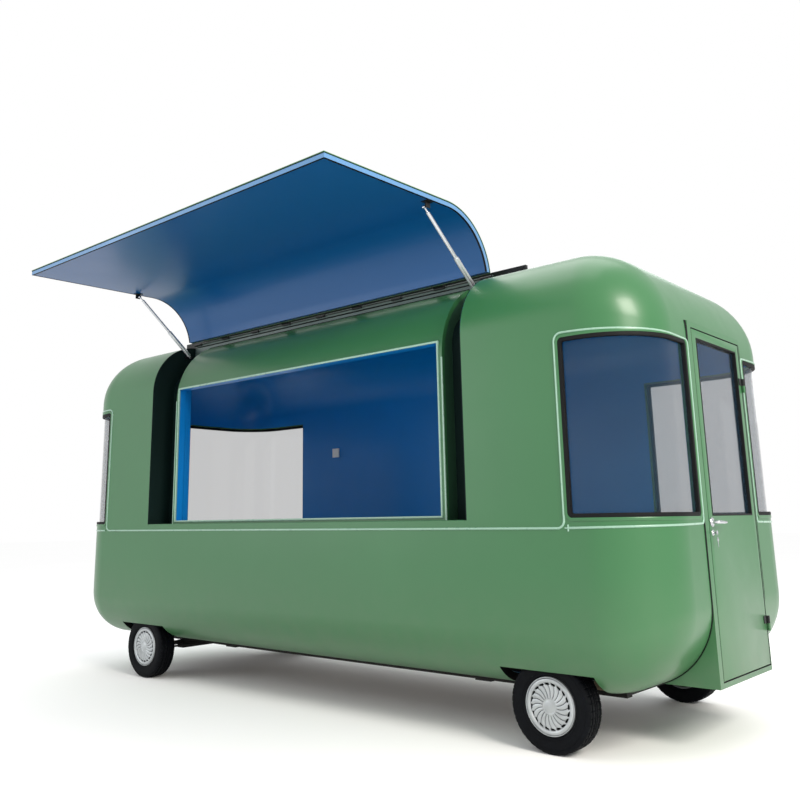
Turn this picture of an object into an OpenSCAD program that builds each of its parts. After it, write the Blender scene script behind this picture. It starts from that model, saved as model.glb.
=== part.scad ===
// Four-wheeled food trailer with a rounded body, a lift-up serving hatch and an end door.
// Millimetres, +Z up. X runs along the body with the door at +X, the serving side faces -Y,
// and the origin is on the ground under the middle of the overall box (hatch open).

/* [Body] */
// Distance from the body datum to the door end wall
end_door = 2780; // [2600:10:2950]
// Distance from the body datum to the blank end wall
end_front = 2700; // [2550:10:2850]
// Half the width of the body
half_w = 1024; // [950:2:1100]
// Height of the underside of the body
z_low = 315; // [300:1:340]
// Height of the roof where the side rounding ends
z_top = 2768; // [2700:2:2900]
// Rise of the roof from its edge to its middle
crown = 12; // [0:1:40]
// Thickness of the wall, roof and floor panels
wall_t = 45; // [40:1:50]
// Thickness of the inner lining
lining_t = 4; // [3:1:6]
// Radius of the upright corners in plan
r_plan = 400; // [360:5:440]
// Roof edge radius on the long sides
rt_side = 440; // [400:5:460]
// Roof edge radius on the ends
rt_end = 510; // [480:5:560]
// Lower edge radius on the long sides
rb_side = 310; // [290:5:340]
// Lower edge radius on the ends
rb_end = 450; // [400:5:480]
// Height of the waist seam
waist_z = 1175; // [1150:1:1200]
// Height of the seam between the upper walls and the roof
eave_z = 2250; // [2225:1:2255]

/* [Serving bay and hatch] */
// Half the width of the bay in the serving side
bay_hw = 1626; // [1500:2:1660]
// Height of the bay sill
sill_z = 1225; // [1210:1:1240]
// Distance the serving panel stands behind the skin
panel_in = 93; // [80:1:110]
// Distance the strut channels go behind the skin
channel_in = 208; // [204:1:212]
// Half the width of the serving panel
panel_hw = 1410; // [1380:2:1440]
// Half the width of the serving opening
open_hw = 1371; // [1300:2:1376]
// Bottom of the serving opening
open_z0 = 1251; // [1248:1:1270]
// Top of the serving opening
open_z1 = 2331; // [2200:1:2340]
// Thickness of the hatch
hatch_t = 38; // [30:1:42]
// Half the width of the hatch
hatch_hw = 1612; // [1500:1:1614]
// Hinge line of the hatch across the body
hinge_y = -618; // [-625:1:-610]
// Hinge line of the hatch above the ground
hinge_z = 2788; // [2786:1:2792]
// Angle the hatch stands open
hatch_open = 89; // [0:1:89]

/* [Door] */
// Outer face of the door and its frame
door_x = 2784; // [2782:1:2800]
// Left edge of the door leaf
door_y0 = -353; // [-360:1:-340]
// Right edge of the door leaf
door_y1 = 388; // [380:1:390]
// Bottom of the door leaf
door_z0 = 366; // [364:1:380]
// Top of the door leaf
door_z1 = 2292; // [2280:1:2293]
// Thickness of the door leaf
door_t = 40; // [32:1:42]

/* [Windows] */
// Bottom of the corner window openings
win_z0 = 1228; // [1220:1:1240]
// Top of the corner window openings
win_z1 = 2210; // [2150:1:2215]
// Width of the rubber gasket
gasket_w = 22; // [16:1:30]

/* [Running gear] */
// Free radius of the tyre
tyre_r = 242; // [236:1:248]
// Width of the tyre
tyre_w = 145; // [135:1:155]
// Distance of a wheel's middle from the middle of the body
wheel_y = 852.5; // [845:0.5:860]
// Axle line near the door end
axle_door = 2051; // [2000:1:2100]
// Axle line near the blank end
axle_front = -1759; // [-1800:1:-1700]

/* [Frame] */
// Shift of the body datum along X to centre the overall box
shift_x = -64.5; // [-120:0.5:0]
// Shift of the body datum along Y to centre the overall box
shift_y = 574.9; // [0:0.5:640]

/* [Hidden] */
$fn = 64;

green = [0.30, 0.52, 0.40];
blue = [0.03, 0.28, 0.48];
mint = [0.74, 0.86, 0.78];
black = [0.04, 0.04, 0.05];
silver = [0.75, 0.76, 0.78];
steel = [0.25, 0.26, 0.28];
glass = [0.55, 0.70, 0.80, 0.4];

nseg = 8;                       // segments round one plan corner
narc = 9;                       // segments up one rounded edge
mid_x = (end_door - end_front) / 2;

function lerp(a, b, k) = a + (b - a) * k;
function endw(a) = pow(cos(a), 2);          // 1 on the end wall, 0 on the side wall
function rtop(a) = lerp(rt_side, rt_end, endw(a));
function rbot(a) = lerp(rb_side, rb_end, endw(a));
function halfl(sx) = sx > 0 ? end_door : end_front;

// A station is a place round the plan: [kind, sx, sy, value].
// kind 0 is in a corner at plan angle value, kind 1 on a long side at x = value,
// kind 2 on an end at y = value.
function sta(kind, sx, sy, v) = [kind, sx, sy, v];
function corner(sx, sy, a0, a1, n = nseg) = [for (i = [0:n]) sta(0, sx, sy, lerp(a0, a1, i / n))];

// A level is a height up the wall: [kind, value]. kind 0 is in the lower rounding at angle
// value, kind 1 on the flat wall at z = value, kind 2 in the upper rounding at angle value,
// kind 3 on the roof at scale value from the middle.
function arc_up(n = narc) = [for (i = [0:n]) [0, 90 * i / n]];
function arc_over(n = narc) = [for (i = [0:n]) [2, 90 - 90 * i / n]];

// Plan angle used for the edge radius at a station.
function sang(s) = s[0] == 0 ? s[3] : (s[0] == 1 ? 90 : 0);

// The point of the body surface at station s and level l, t inside the outer skin.
function pt(s, l, t) =
  let (a = sang(s),
       k = l[0],
       th = (k == 0 || k == 2) ? l[1] : 90,
       sn = k == 3 ? 0 : sin(th),
       re = k == 0 ? rb_end - t : (k == 2 || k == 3) ? rt_end - t : 0,
       rs = k == 0 ? rb_side - t : (k == 2 || k == 3) ? rt_side - t : 0,
       lx = halfl(s[1]) - t - re * (1 - sn),
       ly = half_w - t - rs * (1 - sn),
       rho = (r_plan - t) * sn + 12 * (1 - sn),
       x0 = s[0] == 0 ? s[1] * (lx - rho + rho * cos(a)) : s[0] == 1 ? s[3] : s[1] * lx,
       y0 = s[0] == 0 ? s[2] * (ly - rho + rho * sin(a)) : s[0] == 1 ? s[2] * ly : s[3],
       z = k == 0 ? z_low + t + (rbot(a) - t) * (1 - cos(th))
         : k == 1 ? l[1]
         : k == 2 ? z_top - t - (rtop(a) - t) * (1 - cos(th))
         : z_top - t + crown * (1 - l[1] * l[1]),
       q = k == 3 ? l[1] : 1)
  [mid_x + (x0 - mid_x) * q, y0 * q, z];

// A thick curved panel between depths t0 (outer) and t1 (inner).
module patch(st, lv, t0, t1) {
  ns = len(st); nl = len(lv);
  pts = [for (i = [0:ns-1]) for (j = [0:nl-1]) for (t = [t0, t1]) pt(st[i], lv[j], t)];
  function id(i, j, k) = (i * nl + j) * 2 + k;
  polyhedron(pts, [
    for (i = [0:ns-2]) for (j = [0:nl-2]) each [
      [id(i,j,0), id(i,j+1,0), id(i+1,j+1,0)], [id(i,j,0), id(i+1,j+1,0), id(i+1,j,0)],
      [id(i,j,1), id(i+1,j+1,1), id(i,j+1,1)], [id(i,j,1), id(i+1,j,1), id(i+1,j+1,1)]],
    for (j = [0:nl-2]) each [
      [id(0,j,0), id(0,j,1), id(0,j+1,1)], [id(0,j,0), id(0,j+1,1), id(0,j+1,0)],
      [id(ns-1,j,0), id(ns-1,j+1,1), id(ns-1,j,1)], [id(ns-1,j,0), id(ns-1,j+1,0), id(ns-1,j+1,1)]],
    for (i = [0:ns-2]) each [
      [id(i,0,0), id(i+1,0,1), id(i,0,1)], [id(i,0,0), id(i+1,0,0), id(i+1,0,1)],
      [id(i,nl-1,0), id(i,nl-1,1), id(i+1,nl-1,1)], [id(i,nl-1,0), id(i+1,nl-1,1), id(i+1,nl-1,0)]]],
    convexity = 8);
}

// A dome: the whole plan loop from the first level up, closed over the top.
module dome(st, lv, t0, t1) {
  ns = len(st); nl = len(lv);
  pts = concat([for (i = [0:ns-1]) for (j = [0:nl-1]) for (t = [t0, t1]) pt(st[i], lv[j], t)],
               [[mid_x, 0, z_top - t0 + crown], [mid_x, 0, z_top - t1 + crown]]);
  c0 = ns * nl * 2; c1 = c0 + 1;
  function id(i, j, k) = ((i % ns) * nl + j) * 2 + k;
  polyhedron(pts, [
    for (i = [0:ns-1]) for (j = [0:nl-2]) each [
      [id(i,j,0), id(i,j+1,0), id(i+1,j+1,0)], [id(i,j,0), id(i+1,j+1,0), id(i+1,j,0)],
      [id(i,j,1), id(i+1,j+1,1), id(i,j+1,1)], [id(i,j,1), id(i+1,j,1), id(i+1,j+1,1)]],
    for (i = [0:ns-1]) each [
      [id(i,nl-1,0), c0, id(i+1,nl-1,0)], [id(i,nl-1,1), id(i+1,nl-1,1), c1],
      [id(i,0,0), id(i+1,0,1), id(i,0,1)], [id(i,0,0), id(i+1,0,0), id(i+1,0,1)]]],
    convexity = 8);
}

// Stations round one end, from the serving side to the back or the other way.
function round_door(xa, xb) = concat([sta(1, 1, -1, xa)], corner(1, -1, 90, 0), corner(1, 1, 0, 90), [sta(1, 1, 1, xb)]);
function round_front(xa, xb) = concat([sta(1, -1, 1, xb)], corner(-1, 1, 90, 0), corner(-1, -1, 0, 90), [sta(1, -1, -1, xa)]);
loop_all = concat(corner(1, -1, 90, 0), corner(1, 1, 0, 90), corner(-1, 1, 90, 0), corner(-1, -1, 0, 90));

// The four corner windows: stations from one upright edge to the other, g inside the opening.
win_a = 2287; win_b = 447; win_c = 1880; win_d = 60; win_e = -2270;
function win_st(w, g) =
    w == 0 ? concat([sta(1, 1, -1, win_a + g)], corner(1, -1, 90, 0), [sta(2, 1, -1, -win_b - g)])
  : w == 1 ? concat([sta(2, 1, 1, win_b + g)], corner(1, 1, 0, 90), [sta(1, 1, 1, win_c + g)])
  : w == 2 ? concat([sta(1, -1, 1, -win_c - g)], corner(-1, 1, 90, 0), [sta(2, -1, 1, win_d + g)])
  :          concat([sta(2, -1, -1, -win_d - g)], corner(-1, -1, 0, 90), [sta(1, -1, -1, win_e - g)]);
function win_lv(g) = [[1, win_z0 + g], [1, win_z1 - g]];
// Upright edge strips of a window ring between insets g0 and g1.
function win_edge(w, e, g0, g1) =
    w == 0 ? (e == 0 ? [sta(1, 1, -1, win_a + g0), sta(1, 1, -1, win_a + g1)] : [sta(2, 1, -1, -win_b - g1), sta(2, 1, -1, -win_b - g0)])
  : w == 1 ? (e == 0 ? [sta(2, 1, 1, win_b + g0), sta(2, 1, 1, win_b + g1)] : [sta(1, 1, 1, win_c + g1), sta(1, 1, 1, win_c + g0)])
  : w == 2 ? (e == 0 ? [sta(1, -1, 1, -win_c - g0), sta(1, -1, 1, -win_c - g1)] : [sta(2, -1, 1, win_d + g1), sta(2, -1, 1, win_d + g0)])
  :          (e == 0 ? [sta(2, -1, -1, -win_d - g0), sta(2, -1, -1, -win_d - g1)] : [sta(1, -1, -1, win_e - g1), sta(1, -1, -1, win_e - g0)]);
module win_ring(w, g0, g1, t0, t1) {
  patch(win_st(w, g0), [[1, win_z0 + g0], [1, win_z0 + g1]], t0, t1);
  patch(win_st(w, g0), [[1, win_z1 - g1], [1, win_z1 - g0]], t0, t1);
  for (e = [0, 1]) patch(win_edge(w, e, g0, g1), [[1, win_z0 + g0], [1, win_z1 - g0]], t0, t1);
}
module win_cuts(g = 0) for (w = [0:3]) patch(win_st(w, -g), win_lv(-g), -30, wall_t + 30);

module at(x = 0, y = 0, z = 0) translate([x, y, z]) children();
module box(a, b) translate(a) cube([b[0] - a[0], b[1] - a[1], b[2] - a[2]]);
module both_y() { children(); mirror([0, 1, 0]) children(); }
module rod_x(x0, x1, r, y, z) translate([x0, y, z]) rotate([0, 90, 0]) cylinder(h = x1 - x0, r = r);
module rod_y(y0, y1, r, x, z) translate([x, y1, z]) rotate([90, 0, 0]) cylinder(h = y1 - y0, r = r);
module rod_z(z0, z1, r, x, y) translate([x, y, z0]) cylinder(h = z1 - z0, r = r);
// Extrude a cross-section drawn in (Y, Z) from x0 to x1.
module along_x(x0, x1) translate([x0, 0, 0]) rotate([90, 0, 90]) linear_extrude(height = x1 - x0) children();
// Extrude a shape drawn in (X, Z) from y0 to y1.
module along_y(y0, y1) translate([0, y1, 0]) rotate([90, 0, 0]) linear_extrude(height = y1 - y0) children();
module place() translate([shift_x, shift_y, 0]) children();

// Wheel arch: a flat-topped recess reaching in through the lower rounding.
arch_hw = 290; arch_y0 = 705; arch_y1 = 948; arch_z = 555;
module arch_cut(x) both_y() box([x - arch_hw, -arch_y1, z_low - 30], [x + arch_hw, -arch_y0, arch_z]);
module portal_cut() box([end_door - 380, -411, 250], [2900, 406, 2332]);
module bay_cut() box([-bay_hw, -1200, sill_z], [bay_hw, -588, 2900]);

lower_lv = concat(arc_up(), [[1, waist_z]]);
upper_lv = [[1, waist_z], [1, eave_z]];
low_a = -1200; low_b = 1640;

// ---- body panels ----
module lower_side_serving() color(green)
  patch([sta(1, 1, -1, low_a), sta(1, 1, -1, low_b)], lower_lv, 0, wall_t);
module lower_side_back() color(green)
  patch([sta(1, 1, 1, low_b), sta(1, 1, 1, low_a)], lower_lv, 0, wall_t);
module lower_end_door() color(green) difference() {
  patch(round_door(low_b, low_b), lower_lv, 0, wall_t);
  arch_cut(axle_door);
  portal_cut();
}
module lower_end_front() color(green) difference() {
  patch(round_front(low_a, low_a), lower_lv, 0, wall_t);
  arch_cut(axle_front);
}
module upper_side_back() color(green)
  patch([sta(1, 1, 1, bay_hw), sta(1, 1, 1, -bay_hw)], upper_lv, 0, wall_t);
module upper_end_door() color(green) difference() {
  patch(round_door(bay_hw, bay_hw), upper_lv, 0, wall_t);
  win_cuts(); portal_cut();
}
module upper_end_front() color(green) difference() {
  patch(round_front(-bay_hw, -bay_hw), upper_lv, 0, wall_t);
  win_cuts();
}
module roof() color(green) difference() {
  dome(loop_all, concat([[1, eave_z]], arc_over(), [[3, 0.8], [3, 0.45]]), 0, wall_t);
  portal_cut(); bay_cut();
}

// Cross-section of the serving half of the body, t inside the skin.
arc_cy = -(half_w - rt_side); arc_cz = z_top - rt_side;
module sect(t) {
  translate([-(half_w - t), 1000]) square([half_w - t + arc_cy, arc_cz - 1000]);
  translate([arc_cy, arc_cz]) circle(r = rt_side - t, $fn = 128);
  translate([arc_cy - 0.5, 1000]) square([-arc_cy + 0.5, arc_cz - 1000 + rt_side - t]);
}
module band(t0, t1, y_end, zb) intersection() {
  difference() { sect(t0); sect(t1); }
  translate([-1100, zb]) square([1100 + y_end, 1700]);
}

// Cross-section of the raised panel round the serving opening, o behind its face.
pan_y = half_w - panel_in;
module sectp(o) {
  translate([-(pan_y - o), 1000]) square([540 - o, 1240]);
  translate([540 - pan_y, 2240]) circle(r = 540 - o, $fn = 128);
  translate([539.5 - pan_y, 1000]) square([pan_y - 539.5, 1780 - o]);
}
module bandp(o0, o1, y_end, zb) intersection() {
  difference() { sectp(o0); if (o1 < 400) sectp(o1); else sect(channel_in + o1 - 400); }
  translate([-1100, zb]) square([1100 + y_end, 1700]);
}

module serving_sill() color(green) {
  patch([sta(1, -1, -1, -bay_hw), sta(1, 1, -1, bay_hw)], [[1, waist_z], [1, sill_z - 2]], 0, wall_t);
  box([-bay_hw, -half_w + wall_t, sill_z - 12], [bay_hw, -(half_w - channel_in - 20), sill_z - 2]);
  // raised counter face, clear of the bay behind it
  box([-1600, -half_w + 3, sill_z - 12], [1600, -half_w + panel_in - 12, sill_z]);
}
module hatch_bay() color(green) {
  difference() {
    along_x(-panel_hw, panel_hw) bandp(0, 30, -590, sill_z - 2);
    box([-open_hw - 14, -1000, open_z0 - 14], [open_hw + 14, -800, open_z1 + 14]);
  }
  for (s = [-1, 1]) {
    along_x(min(s * 1400, s * panel_hw), max(s * 1400, s * panel_hw)) bandp(0, 420, -590, sill_z - 2);
    along_x(min(s * 1400, s * bay_hw), max(s * 1400, s * bay_hw)) band(channel_in, channel_in + 20, -590, sill_z - 2);
    along_x(min(s * (bay_hw - 6), s * bay_hw), max(s * (bay_hw - 6), s * bay_hw)) band(0, channel_in + 20, -590, sill_z - 2);
  }
  box([-bay_hw, -600, 2541], [bay_hw, -590, 2764]);
}
module serving_frame() color(mint) difference() {
  box([-open_hw - 13.5, -pan_y - 6, open_z0 - 13.5], [open_hw + 13.5, -pan_y + 85, open_z1 + 13.5]);
  box([-open_hw, -1000, open_z0], [open_hw, -700, open_z1]);
}
module door_portal() color(green) {
  x_in = end_door - wall_t;
  difference() {
    union() {
      box([x_in, -410, 332], [door_x, 405, 2331]);
      along_y(-410, 405) difference() {
        polygon([[end_door - 379.5, 332], [x_in + 1, 332], [x_in + 1, 780], [end_door - 379.5, 780]]);
        translate([end_door - rb_end, z_low + rb_end]) circle(r = rb_end - wall_t, $fn = 128);
      }
    }
    // leaf seat, then the narrower clear opening behind it
    box([door_x - door_t - 4, door_y0 - 5, door_z0 - 5], [door_x + 1, door_y1 + 5, door_z1 + 5]);
    box([2380, door_y0 + 18, 360], [door_x, door_y1 - 23, door_z1 - 22]);
  }
  // fixed halves of the door hinges with their pins
  for (z = [553, 1990]) difference() {
    union() {
      rod_z(z, z + 42, 8, 2794, 400);
      rod_z(z, z + 86, 4.5, 2794, 400);
      box([door_x - 4, 394.5, z], [2794, 405, z + 42]);
    }
  }
}
module floor_panel() color([0.55, 0.5, 0.42])
  difference() {
    at(z = z_low) linear_extrude(height = wall_t) polygon([
      [-(end_front - rb_end) + 1, -(half_w - rb_side) + 16], [-(end_front - rb_end) + 16, -(half_w - rb_side) + 1],
      [end_door - rb_end - 16, -(half_w - rb_side) + 1], [end_door - rb_end - 1, -(half_w - rb_side) + 16],
      [end_door - rb_end - 1, (half_w - rb_side) - 16], [end_door - rb_end - 16, (half_w - rb_side) - 1],
      [-(end_front - rb_end) + 16, (half_w - rb_side) - 1], [-(end_front - rb_end) + 1, (half_w - rb_side) - 16]]);
    arch_cut(axle_door); arch_cut(axle_front);
  }
module wheel_boxes() color(steel) for (x = [axle_door, axle_front]) both_y() difference() {
  intersection() {
    box([x - arch_hw - 10, -990, z_low + wall_t + 3], [x + arch_hw + 10, -arch_y0 + 10, arch_z + 10]);
    along_x(x - 400, x + 400) {
      translate([-(half_w - rb_side), z_low + rb_side]) circle(r = rb_side - wall_t - 5, $fn = 128);
      translate([-(half_w - rb_side), z_low]) square([200, 400]);
      translate([-(half_w - wall_t - 5), z_low + rb_side]) square([300, 200]);
    }
  }
  box([x - arch_hw, -arch_y1, 200], [x + arch_hw, -arch_y0, arch_z]);
}
module inner_lining() color(blue) {
  body_lining();
  // cover over the back of the serving bay
  difference() {
    along_x(-1399, 1399) bandp(67, 67 + lining_t, -601, sill_z + 1);
    box([-open_hw - 14, -1000, open_z0 - 14], [open_hw + 14, -700, open_z1 + 14]);
  }
  for (s = [-1, 1]) {
    along_x(min(s * 1395, s * 1399), max(s * 1395, s * 1399)) bandp(67, 421 + lining_t, -601, sill_z + 1);
    along_x(min(s * 1395, s * bay_hw), max(s * 1395, s * bay_hw)) band(channel_in + 21, channel_in + 21 + lining_t, -590, sill_z + 1);
  }
  box([-bay_hw, -589.5, 2530], [bay_hw, -586.6, 2718]);
}
module body_lining() difference() {
  dome(loop_all, concat([[1, 772], [1, waist_z], [1, eave_z]], arc_over(), [[3, 0.8], [3, 0.45]]), wall_t + 0.6, wall_t + 0.6 + lining_t);
  win_cuts(8);
  box([2500, -411, 250], [2900, 406, 2340]);
  box([-bay_hw - 1, -1200, sill_z - 13], [bay_hw + 1, -586, 2900]);
}
module corner_windows() color(glass) for (w = [0:3])
  patch(win_st(w, gasket_w + 0.5), win_lv(gasket_w + 0.5), 14, 20);
module window_gaskets() color(black) for (w = [0:3]) win_ring(w, 1, gasket_w, 2, 36);
// Pale bead at the waist and round the windows, standing proud of the skin.
module waist_trim() color(mint) {
  tz = [[1, waist_z - 7], [1, waist_z + 7]];
  patch([sta(1, -1, -1, win_e - 6), sta(1, 1, -1, win_a - 28)], tz, -7, -0.3);
  patch([sta(1, 1, 1, win_c - 28), sta(1, -1, 1, -win_c + 28)], tz, -7, -0.3);
  for (w = [0:3]) win_trim(w);
}
module win_trim(w) {
  g0 = -34; g1 = -20;
  patch(win_st(w, g0), [[1, waist_z - 7], [1, waist_z + 7]], -7, -0.3);
  patch(win_st(w, g0), [[1, win_z1 - g1], [1, win_z1 - g0]], -7, -0.3);
  for (e = [0, 1]) patch(win_edge(w, e, g0, g1), [[1, waist_z - 7], [1, win_z1 - g0]], -7, -0.3);
}
module switch_plate() color("white") box([-1433, half_w - 60, 1849], [-1347, half_w - 50.4, 1935]);

// ---- hatch ----
module hatch_pose(a) translate([0, hinge_y, hinge_z]) rotate([-a, 0, 0]) translate([0, -hinge_y, -hinge_z]) children();
hinge_fix = [-1560, -780, 0, 780, 1560];      // fixed knuckle middles
hinge_mov = [-1170, -390, 390, 1170];         // moving knuckle middles
module roof_rail() color(black) {
  box([-1606, -604, 2774], [1606, -540, 2780]);
  box([-1606, -604, 2774], [1606, -599, 2800]);
  box([-1810, -560, 2773], [1830, -535, 2834]);
  for (x = hinge_fix) {
    rod_x(x - 45, x + 45, 9, hinge_y, hinge_z);
    box([x - 45, hinge_y, 2779.9], [x + 45, -560, 2788]);
  }
  rod_x(-1605, 1605, 4, hinge_y, hinge_z);
}
module hatch_panel() color(green) hatch_pose(hatch_open) difference() {
  union() {
    along_x(-hatch_hw, hatch_hw) band(0, hatch_t, -634, sill_z + 7);
    for (x = hinge_mov) {
      rod_x(x - 45, x + 45, 9, hinge_y, hinge_z);
      along_x(x - 45, x + 45) polygon([[-690, 2748], [-640, 2758], [hinge_y - 4, 2781], [hinge_y, 2796.9], [-640, 2790], [-690, 2764]]);
    }
  }
  for (x = hinge_mov) rod_x(x - 46, x + 46, 4.06, hinge_y, hinge_z);
}
// Strut ends: the hatch eye with the hatch closed, and the body eye.
eye_y = -958; eye_z = 2165; foot_y = -705; foot_z = 2665;
function rotv(v, a) = [v[0] * cos(a) - v[1] * sin(a), v[0] * sin(a) + v[1] * cos(a)];
eye_open = rotv([eye_y - hinge_y, eye_z - hinge_z], -hatch_open) + [hinge_y, hinge_z];
strut_v = eye_open - [foot_y, foot_z];
strut_len = norm(strut_v);
strut_ang = atan2(strut_v[1], strut_v[0]);
module hatch_brackets() color(black) hatch_pose(hatch_open) for (s = [-1, 1]) {
  rod_x(min(s * 1562, s * 1576), max(s * 1562, s * 1576), 5, eye_y, eye_z);
  box([min(s * 1575, s * 1580), eye_y - 27.8, eye_z - 22], [max(s * 1575, s * 1580), eye_y + 12, eye_z + 22]);
  box([min(s * 1550, s * 1600), eye_y - 27.8, eye_z - 30], [max(s * 1550, s * 1600), eye_y - 24, eye_z + 30]);
}
// A strut lies along +Y in its own frame, from its foot at the origin.
module strut_place(s) translate([s * 1550, foot_y, foot_z]) rotate([strut_ang, 0, 0]) children();
module strut_tube() color(silver) difference() {
  union() {
    rod_y(20, 300, 17, 0, 0);
    rod_x(-10, 10, 10, 0, 0);
    rod_y(4, 24, 7, 0, 0);
  }
  rod_x(-11, 11, 5.06, 0, 0);
  rod_y(34, 301, 12.05, 0, 0);
}
module strut_rod() color(silver) difference() {
  union() {
    rod_y(strut_len - 470, strut_len - 40, 12, 0, 0);
    rod_y(strut_len - 42, strut_len - 5, 6, 0, 0);
    rod_x(-10, 10, 9, strut_len, 0);
  }
  rod_x(-11, 11, 5.06, strut_len, 0);
}
module strut_mounts() color(steel) for (s = [-1, 1]) {
  rod_x(min(s * 1537, s * 1620), max(s * 1537, s * 1620), 5, foot_y, foot_z);
  rod_x(min(s * 1562, s * 1620), max(s * 1562, s * 1620), 11, foot_y, foot_z);
  rod_x(min(s * 1534, s * 1538), max(s * 1534, s * 1538), 9, foot_y, foot_z);
}

// ---- door ----
module door_leaf() color(green) difference() {
  box([door_x - door_t, door_y0, door_z0], [door_x, door_y1, door_z1]);
  box([2700, -296, 1230], [2800, 340, 2245]);
}
module door_glass() color(glass) box([2761, -295.5, 1230.5], [2767, 339.5, 2244.5]);
module door_handle() color(silver) {
  box([door_x, -346, 1120], [door_x + 6, -306, 1250]);
  rod_x(door_x, 2836, 9, -326, 1195);
  rod_y(-330, -195, 7, 2826, 1195);
  box([door_x - door_t - 6, -328, 1120], [door_x - door_t, -300, 1250]);
  rod_x(2694, door_x - door_t, 9, -314, 1195);
  rod_y(-316, -195, 7, 2704, 1195);
}
module door_hinges() color(black) for (z = [553, 1990]) difference() {
  union() {
    rod_z(z + 44, z + 86, 8, 2794, 400);
    box([door_x, 345, z + 44], [door_x + 5, 396, z + 86]);
    box([door_x, 384, z + 44], [2794, 396, z + 86]);
  }
  rod_z(z + 43, z + 87, 4.56, 2794, 400);
}

// ---- running gear ----
module tyre_at(x, s) color(black) translate([x, s * wheel_y, tyre_r]) rotate([90, 0, 0])
  rotate_extrude($fn = 96) intersection() {
    difference() {
      translate([152, -tyre_w / 2]) square([tyre_r - 152, tyre_w]);
      translate([140, -52]) square([22, 104]);
    }
    union() {
      translate([150, -tyre_w / 2 + 6]) square([30, tyre_w - 12]);
      translate([200, 0]) intersection() { circle(r = 76, $fn = 96); translate([-60, -tyre_w / 2]) square([102, tyre_w]); }
    }
  }
// Wheel with its cover on the outside; s is -1 on the serving side.
module wheel_at(x, s) color(silver) translate([x, s * wheel_y, tyre_r]) rotate([s > 0 ? -90 : 90, 0, 0]) difference() {
  union() {
    rotate_extrude($fn = 96) {
      difference() {
        translate([0, -66]) square([151.8, 132]);
        translate([-1, -67]) square([145, 105]);
        translate([-1, 46]) square([145, 30]);
        translate([50, -70]) square([94, 116]);
      }
      translate([144, -66]) square([7.8, 132]);
      translate([40, 38]) square([108, 8]);
      translate([0, 46]) square([52, 14]);
      translate([0, 60]) intersection() { square([143, 13]); translate([0, -800]) circle(r = 812.5, $fn = 256); }
      translate([100, 44]) square([8, 20]);
    }
    translate([0, 0, 1]) cylinder(h = 7, r = 95);
    translate([0, 0, 6]) cylinder(h = 44, r = 48);
  }
  translate([0, 0, -70]) cylinder(h = 112, r = 17.55);
}
// Door end: a fixed rubber torsion axle, its arms reaching back to the stub shafts.
module axle_door_end() color(steel) {
  x = axle_door;
  box([x - 190, -640, 195], [x - 130, 640, 255]);
  both_y() {
    along_y(-700, -640) polygon([[x - 188, 197], [x - 132, 197], [x + 20, 214], [x + 32, 242], [x + 20, 270], [x - 20, 270], [x - 188, 253]]);
    rod_y(-wheel_y - 40, -690, 17.5, x, tyre_r);
    rod_y(-wheel_y + 12, -699, 34, x, tyre_r);
    rod_y(-wheel_y + 20, -wheel_y + 26, 90, x, tyre_r);
  }
}
// Blank end: a beam with an upright pin eye at each end for the steering knuckles.
king_y = 800; arm_x = 115;
module axle_front_end() color(steel) difference() {
  union() {
    box([axle_front - 26, -782, 227], [axle_front + 26, 782, 255]);
    box([axle_front - 40, -560, 195], [axle_front + 40, 560, 255]);
    both_y() rod_z(225, 259, 26, axle_front, -king_y);
  }
  both_y() rod_z(224, 260, 10.06, axle_front, -king_y);
}
// Steering knuckle for the serving side: ears round the pin, web, stub shaft and arm.
module knuckle() color(steel) {
  for (z = [193, 260]) {
    rod_z(z, z + 31, 26, axle_front, -king_y);
    box([axle_front - 26, -846, z], [axle_front + 26, -king_y, z + 31]);
  }
  rod_z(193, 291, 10, axle_front, -king_y);
  box([axle_front - 26, -846, 193], [axle_front + 26, -828, 291]);
  rod_y(-wheel_y - 40, -840, 17.5, axle_front, tyre_r);
  rod_y(-848, -840, 34, axle_front, tyre_r);
  box([axle_front, -king_y - 13, 200], [axle_front + arm_x, -king_y + 13, 219]);
  rod_z(200, 219, 15, axle_front + arm_x, -king_y);
  rod_z(219, 241, 6, axle_front + arm_x, -king_y);
}
module knuckle_near() knuckle();
module knuckle_far() mirror([0, 1, 0]) knuckle();
module tie_rod() color(steel) difference() {
  union() {
    rod_y(-king_y + 8, king_y - 8, 8, axle_front + arm_x, 230);
    both_y() rod_z(221, 239, 14, axle_front + arm_x, -king_y);
  }
  both_y() rod_z(220, 242, 6.06, axle_front + arm_x, -king_y);
}
module chassis_frame() color(steel) {
  for (s = [-1, 1]) box([-2230, min(s * 470, s * 530), 255], [2310, max(s * 470, s * 530), 315]);
  for (x = [-2205, -1900, -950, 0, 950, 1860, 2285]) box([x - 25, -471, 265], [x + 25, 471, 315]);
  // jacking pads under the rails
  for (x = [-1120, 1350]) both_y() box([x - 60, -530, 247], [x + 60, -470, 256]);
}
// Two ears under the blank end that take a towing pin.
module tow_clevis() color(steel) difference() {
  for (y = [-45, 25]) box([-2330, y, 225], [-2230, y + 20, 314]);
  rod_y(-60, 60, 12.5, -2295, 262);
}

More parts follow.
